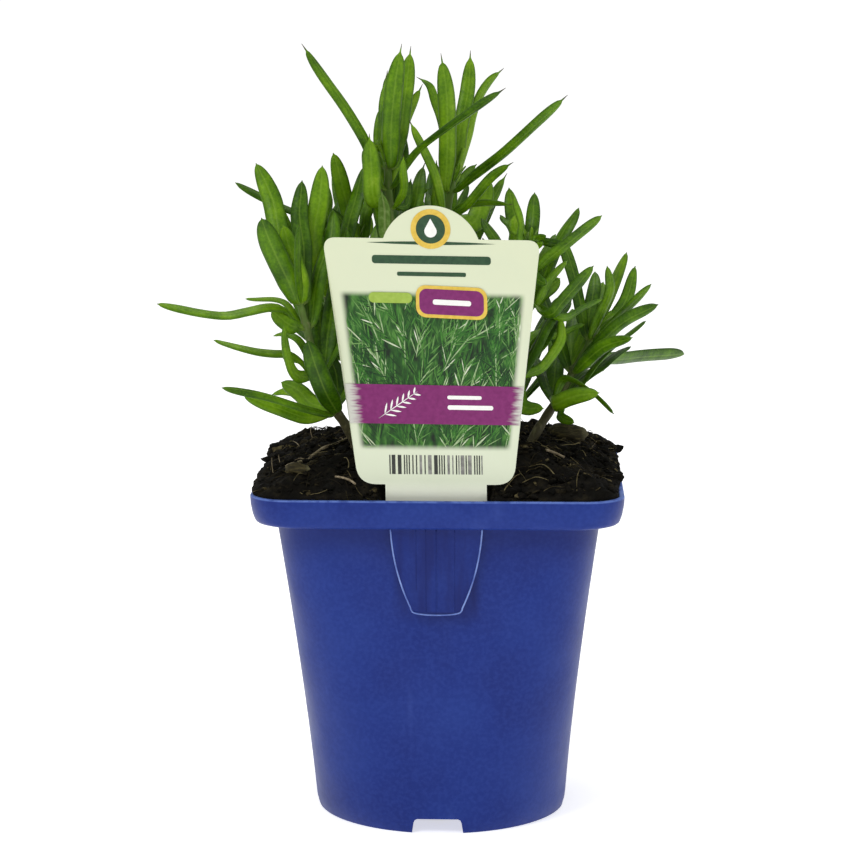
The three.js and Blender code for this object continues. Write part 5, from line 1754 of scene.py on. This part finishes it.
# ------------------------------------------------------------------ stems and leaves
def stem_look():
    look = Look("stem", 0.62, 0.35)
    along = look.plus(look.value("along"), look.ripple(0.3, 5, 3))
    colour = look.ramp(
        along,
        (0.0, (56, 48, 30)), (0.35, (70, 68, 36)), (0.65, (76, 94, 38)), (1.0, (94, 128, 46)),
    )
    fleck = look.between(look.noise(0.9, 4, stretch=(1, 1, 0.3)), 0.5, 0.72, 0.0, 0.45)
    look.set("Base Color", look.blend(fleck, colour, (124, 122, 84)))
    look.bump((look.noise(0.8, 4, stretch=(1, 1, 0.25)), 0.12))
    return look.material


def leaf_look():
    look = Look("leaf", 0.45, 0.2)
    tone, along, across, under = (look.value(key) for key in ("tone", "along", "across", "under"))
    cloud = look.ripple(0.8, 6.0, 3)
    fine = look.ripple(0.4, 0.7, 3)
    shade = look.plus(look.plus(tone, cloud), fine)
    top = look.ramp(
        shade,
        (0.0, (24, 48, 4)), (0.28, (50, 86, 4)), (0.52, (84, 126, 5)),
        (0.76, (116, 158, 16)), (1.0, (150, 180, 52)),
    )
    width = look.absolute(across)
    rib = look.between(width, 0.12, 0.02)
    veined = look.blend(look.times(rib, 0.28), top, (134, 164, 60))
    furrow = look.times(look.between(width, 0.12, 0.2), look.between(width, 0.42, 0.28))
    furrowed = look.blend(look.times(furrow, 0.1), veined, (36, 66, 8))
    margin = look.times(look.between(width, 0.62, 0.97), 0.55)
    edged = look.blend(margin, furrowed, (44, 76, 10))
    pale = look.ramp(
        look.plus(look.noise(1.6, 4), fine),
        (0.3, (84, 118, 42)), (0.55, (106, 140, 60)), (0.8, (142, 168, 96)),
    )
    pale_rib = look.blend(look.times(look.between(width, 0.24, 0.08), 0.6), pale, (156, 174, 108))
    sides = look.blend(look.times(under, 0.95), edged, pale_rib)
    base = look.blend(look.between(along, 0.14, 0.0, 0.0, 0.6), sides, (132, 150, 74))
    dry = look.plus(along, look.ripple(0.02, 1.5, 2))
    tipped = look.blend(look.between(dry, 0.95, 0.985), base, (74, 66, 48))
    look.set("Base Color", tipped)
    rough = look.math("MULTIPLY_ADD", look.noise(1.8, 3), 0.22, 0.3)
    look.set("Roughness", look.plus(rough, look.times(under, 0.25)))
    look.bump((look.noise(0.45, 3), 0.05), (look.noise(2.4, 2), 0.14))
    return look.material


HALF_TOP = vec(0.07, 0.18, 0.38, 0.6, 0.8, 0.93, 1)  # places from a leaf's midrib to its margin
HALF_UNDER = vec(0.08, 0.2, 0.45, 0.7, 0.84, 0.95)
SECTION_TOP = np.concatenate([-HALF_TOP[::-1], [0], HALF_TOP])
SECTION_UNDER = np.concatenate([HALF_UNDER[::-1], [0], -HALF_UNDER])


def blade_outline(share, length, width, sharp):
    """The relative width along a fine leaf: a slim heel, near-parallel sides, a rounded end."""
    growth = 0.36 + 0.64 * smoothstep(share, 0.0, 0.34)
    rounding = min(0.34, 2.1 * width / length)
    beak = min(0.07, (1.0 + 0.28 * width) / length) if sharp else min(0.025, 0.5 / length)
    end = 1 - beak
    blunt = np.sqrt(np.clip(1 - np.clip((share - (end - rounding)) / rounding, 0, 1) ** 2.3, 0, 1))
    point = 0.5 / width * (1 - 0.7 * smoothstep(share, end, 1))
    return np.maximum(growth * blunt, point)


GREEN_TIP = 0.97  # keeps a blunt leaf's end out of the dry tip's colour
USUAL_FULLNESS = 1.18  # a fine leaf's width against the CAD's bar
SHARP_FULLNESS = 1.02  # and that of the long-tipped leaves on the tall sprigs


def leaf_part(blade):
    """One needle leaf: grooved along its top, its margins rolled under, a ribbed underside."""
    chain = np.vstack([blade["heel"], blade["points"]])
    curve = Curve(chain)
    shares = np.concatenate([np.linspace(0, 0.86, 22), np.linspace(0.88, 0.97, 7), [0.98, 0.99, 1]])
    centres = curve.at(shares)
    tangents = curve.tangents(shares)
    length = np.linalg.norm(np.diff(centres, axis=0), axis=1).sum()
    width = blade["width"] * blade["fullness"]
    half = width / 2 * blade_outline(shares, length, width, blade["sharp"])
    curl, wave = blade["curl"], blade["wave"]
    reach = 1.0 if blade["sharp"] else GREEN_TIP
    body = 0.42 + 0.16 * min(1.4, width / 3)
    rows, along, across, under = [], [], [], []
    for row, (centre, tangent, w) in enumerate(zip(centres, tangents, half)):
        wide = square_to(tangent, blade["across"])
        thick = np.cross(wide, tangent)
        sway = wave * math.sin(shares[row] * 7 + width * 5)
        wide, thick = rotated(wide, tangent, sway), rotated(thick, tangent, sway)
        t = min(body, 1.5 * w)
        top, low = SECTION_TOP, SECTION_UNDER
        sag = curl * w * top**2
        groove = min(0.08, 0.1 * w) * np.exp(-((top / 0.14) ** 2))
        top_z = t / 2 * np.sqrt(1 - top**4) - groove - sag
        rib = min(0.3, 0.3 * w) * np.exp(-((low / 0.15) ** 2))
        hollow = 0.25 + 1.1 * np.abs(low) ** 1.5
        low_z = -t / 2 * np.sqrt(1 - low**4) * hollow - rib - curl * w * low**2
        upper = np.outer(top * w, wide) + np.outer(top_z, thick)
        lower = np.outer(low * w, wide) + np.outer(low_z, thick)
        section = np.concatenate([upper, lower])
        rows.append(centre + section)
        along.append(np.full(len(section), shares[row] * reach))
        across.append(np.concatenate([top, low]))
        under.append(np.concatenate([np.zeros(len(top)), np.ones(len(low))]))
    faces = capped_faces(len(rows), len(SECTION_TOP) + len(SECTION_UNDER))
    return part(
        np.vstack(rows),
        faces,
        tone=blade["tone"],
        along=np.concatenate(along),
        across=np.concatenate(across),
        under=np.concatenate(under),
    )


def bud_blades(sprig):
    """The small young leaves around a sprig's growing tip."""
    centre = sprig["curve"].at(1)[0]
    tangent = sprig["curve"].tangents(1)[0]
    side = unit(np.cross(tangent, vec(0.2, 1, 0.1)))
    made = []
    for number in range(6):
        turn = number * 2.4
        out = rotated(side, tangent, turn)
        length = 3.4 + 4.2 * ((number * GOLDEN) % 1)
        lean = 0.25 + 0.1 * number
        base = centre - tangent * 0.8 + out * 0.35
        middle = base + tangent * length * 0.55 + out * length * lean * 0.35
        tip = base + tangent * length + out * length * lean * 0.75
        across = unit(np.cross(tangent, out))
        chain = Curve([base, middle, tip]).spaced(LEAF_SAMPLES)
        made.append({
            "points": chain, "across": across, "heel": base - tangent * 0.8,
            "width": 1.3 + 0.5 * ((number * 0.37) % 1), "fullness": 1.0, "sharp": False,
            "tone": 0.62, "curl": -0.3, "wave": 0.0,
        })
    return made


def stem_part(sprig):
    shares = np.linspace(0, 1, 90)
    centres = sprig["curve"].at(shares)
    radius = stem_radius(sprig, shares)
    for whorl in sprig["whorls"]:
        radius = radius + 0.42 * np.exp(-(((shares - whorl["at"]) / 0.016) ** 2))
    radius = radius * (1 + 0.05 * np.sin(shares * 61 + sprig["radius"] * 9))
    sides = 16
    points, faces = tube(centres, radius, sides, 0.3, 0.06)
    return part(points, faces, along=np.repeat(shares, sides))


def add_sprigs():
    for sprig in SPRIGS:
        grow_sprig(sprig)
    make_room(SPRIGS)
    stems, leaves = stem_look(), leaf_look()
    for sprig in SPRIGS:
        name = sprig["name"]
        add_piece(name + "_stem_fine", [stem_part(sprig)], [stems], [name + "_stem"])
        for number in range(len(sprig["whorls"])):
            node = f"{name}_leaves_{number + 1}"
            own = [blade for blade in sprig["blades"] if blade["whorl"] == node]
            for blade in own:
                # Leaves set out by rule sit mostly deeper in the bush and get a darker tone: painted
                # shade.
                blade["tone"] = float(RANDOM.uniform(0.34, 0.72) - (0 if blade["drawn"] else 0.12))
                blade["curl"] = float(RANDOM.uniform(0.08, 0.3))
                blade["wave"] = float(RANDOM.uniform(-0.16, 0.16))
                usual = SHARP_FULLNESS if blade["sharp"] else USUAL_FULLNESS
                blade["fullness"] = blade["fullness"] or usual
            if number == len(sprig["whorls"]) - 1:
                own = own + bud_blades(sprig)
            add_piece(node + "_fine", [leaf_part(blade) for blade in own], [leaves], [node])


# ------------------------------------------------------------------ the scene
add_camera()
add_studio()
add_pot()
add_label()
add_mix()
add_bark()
add_roots()
add_sprigs()
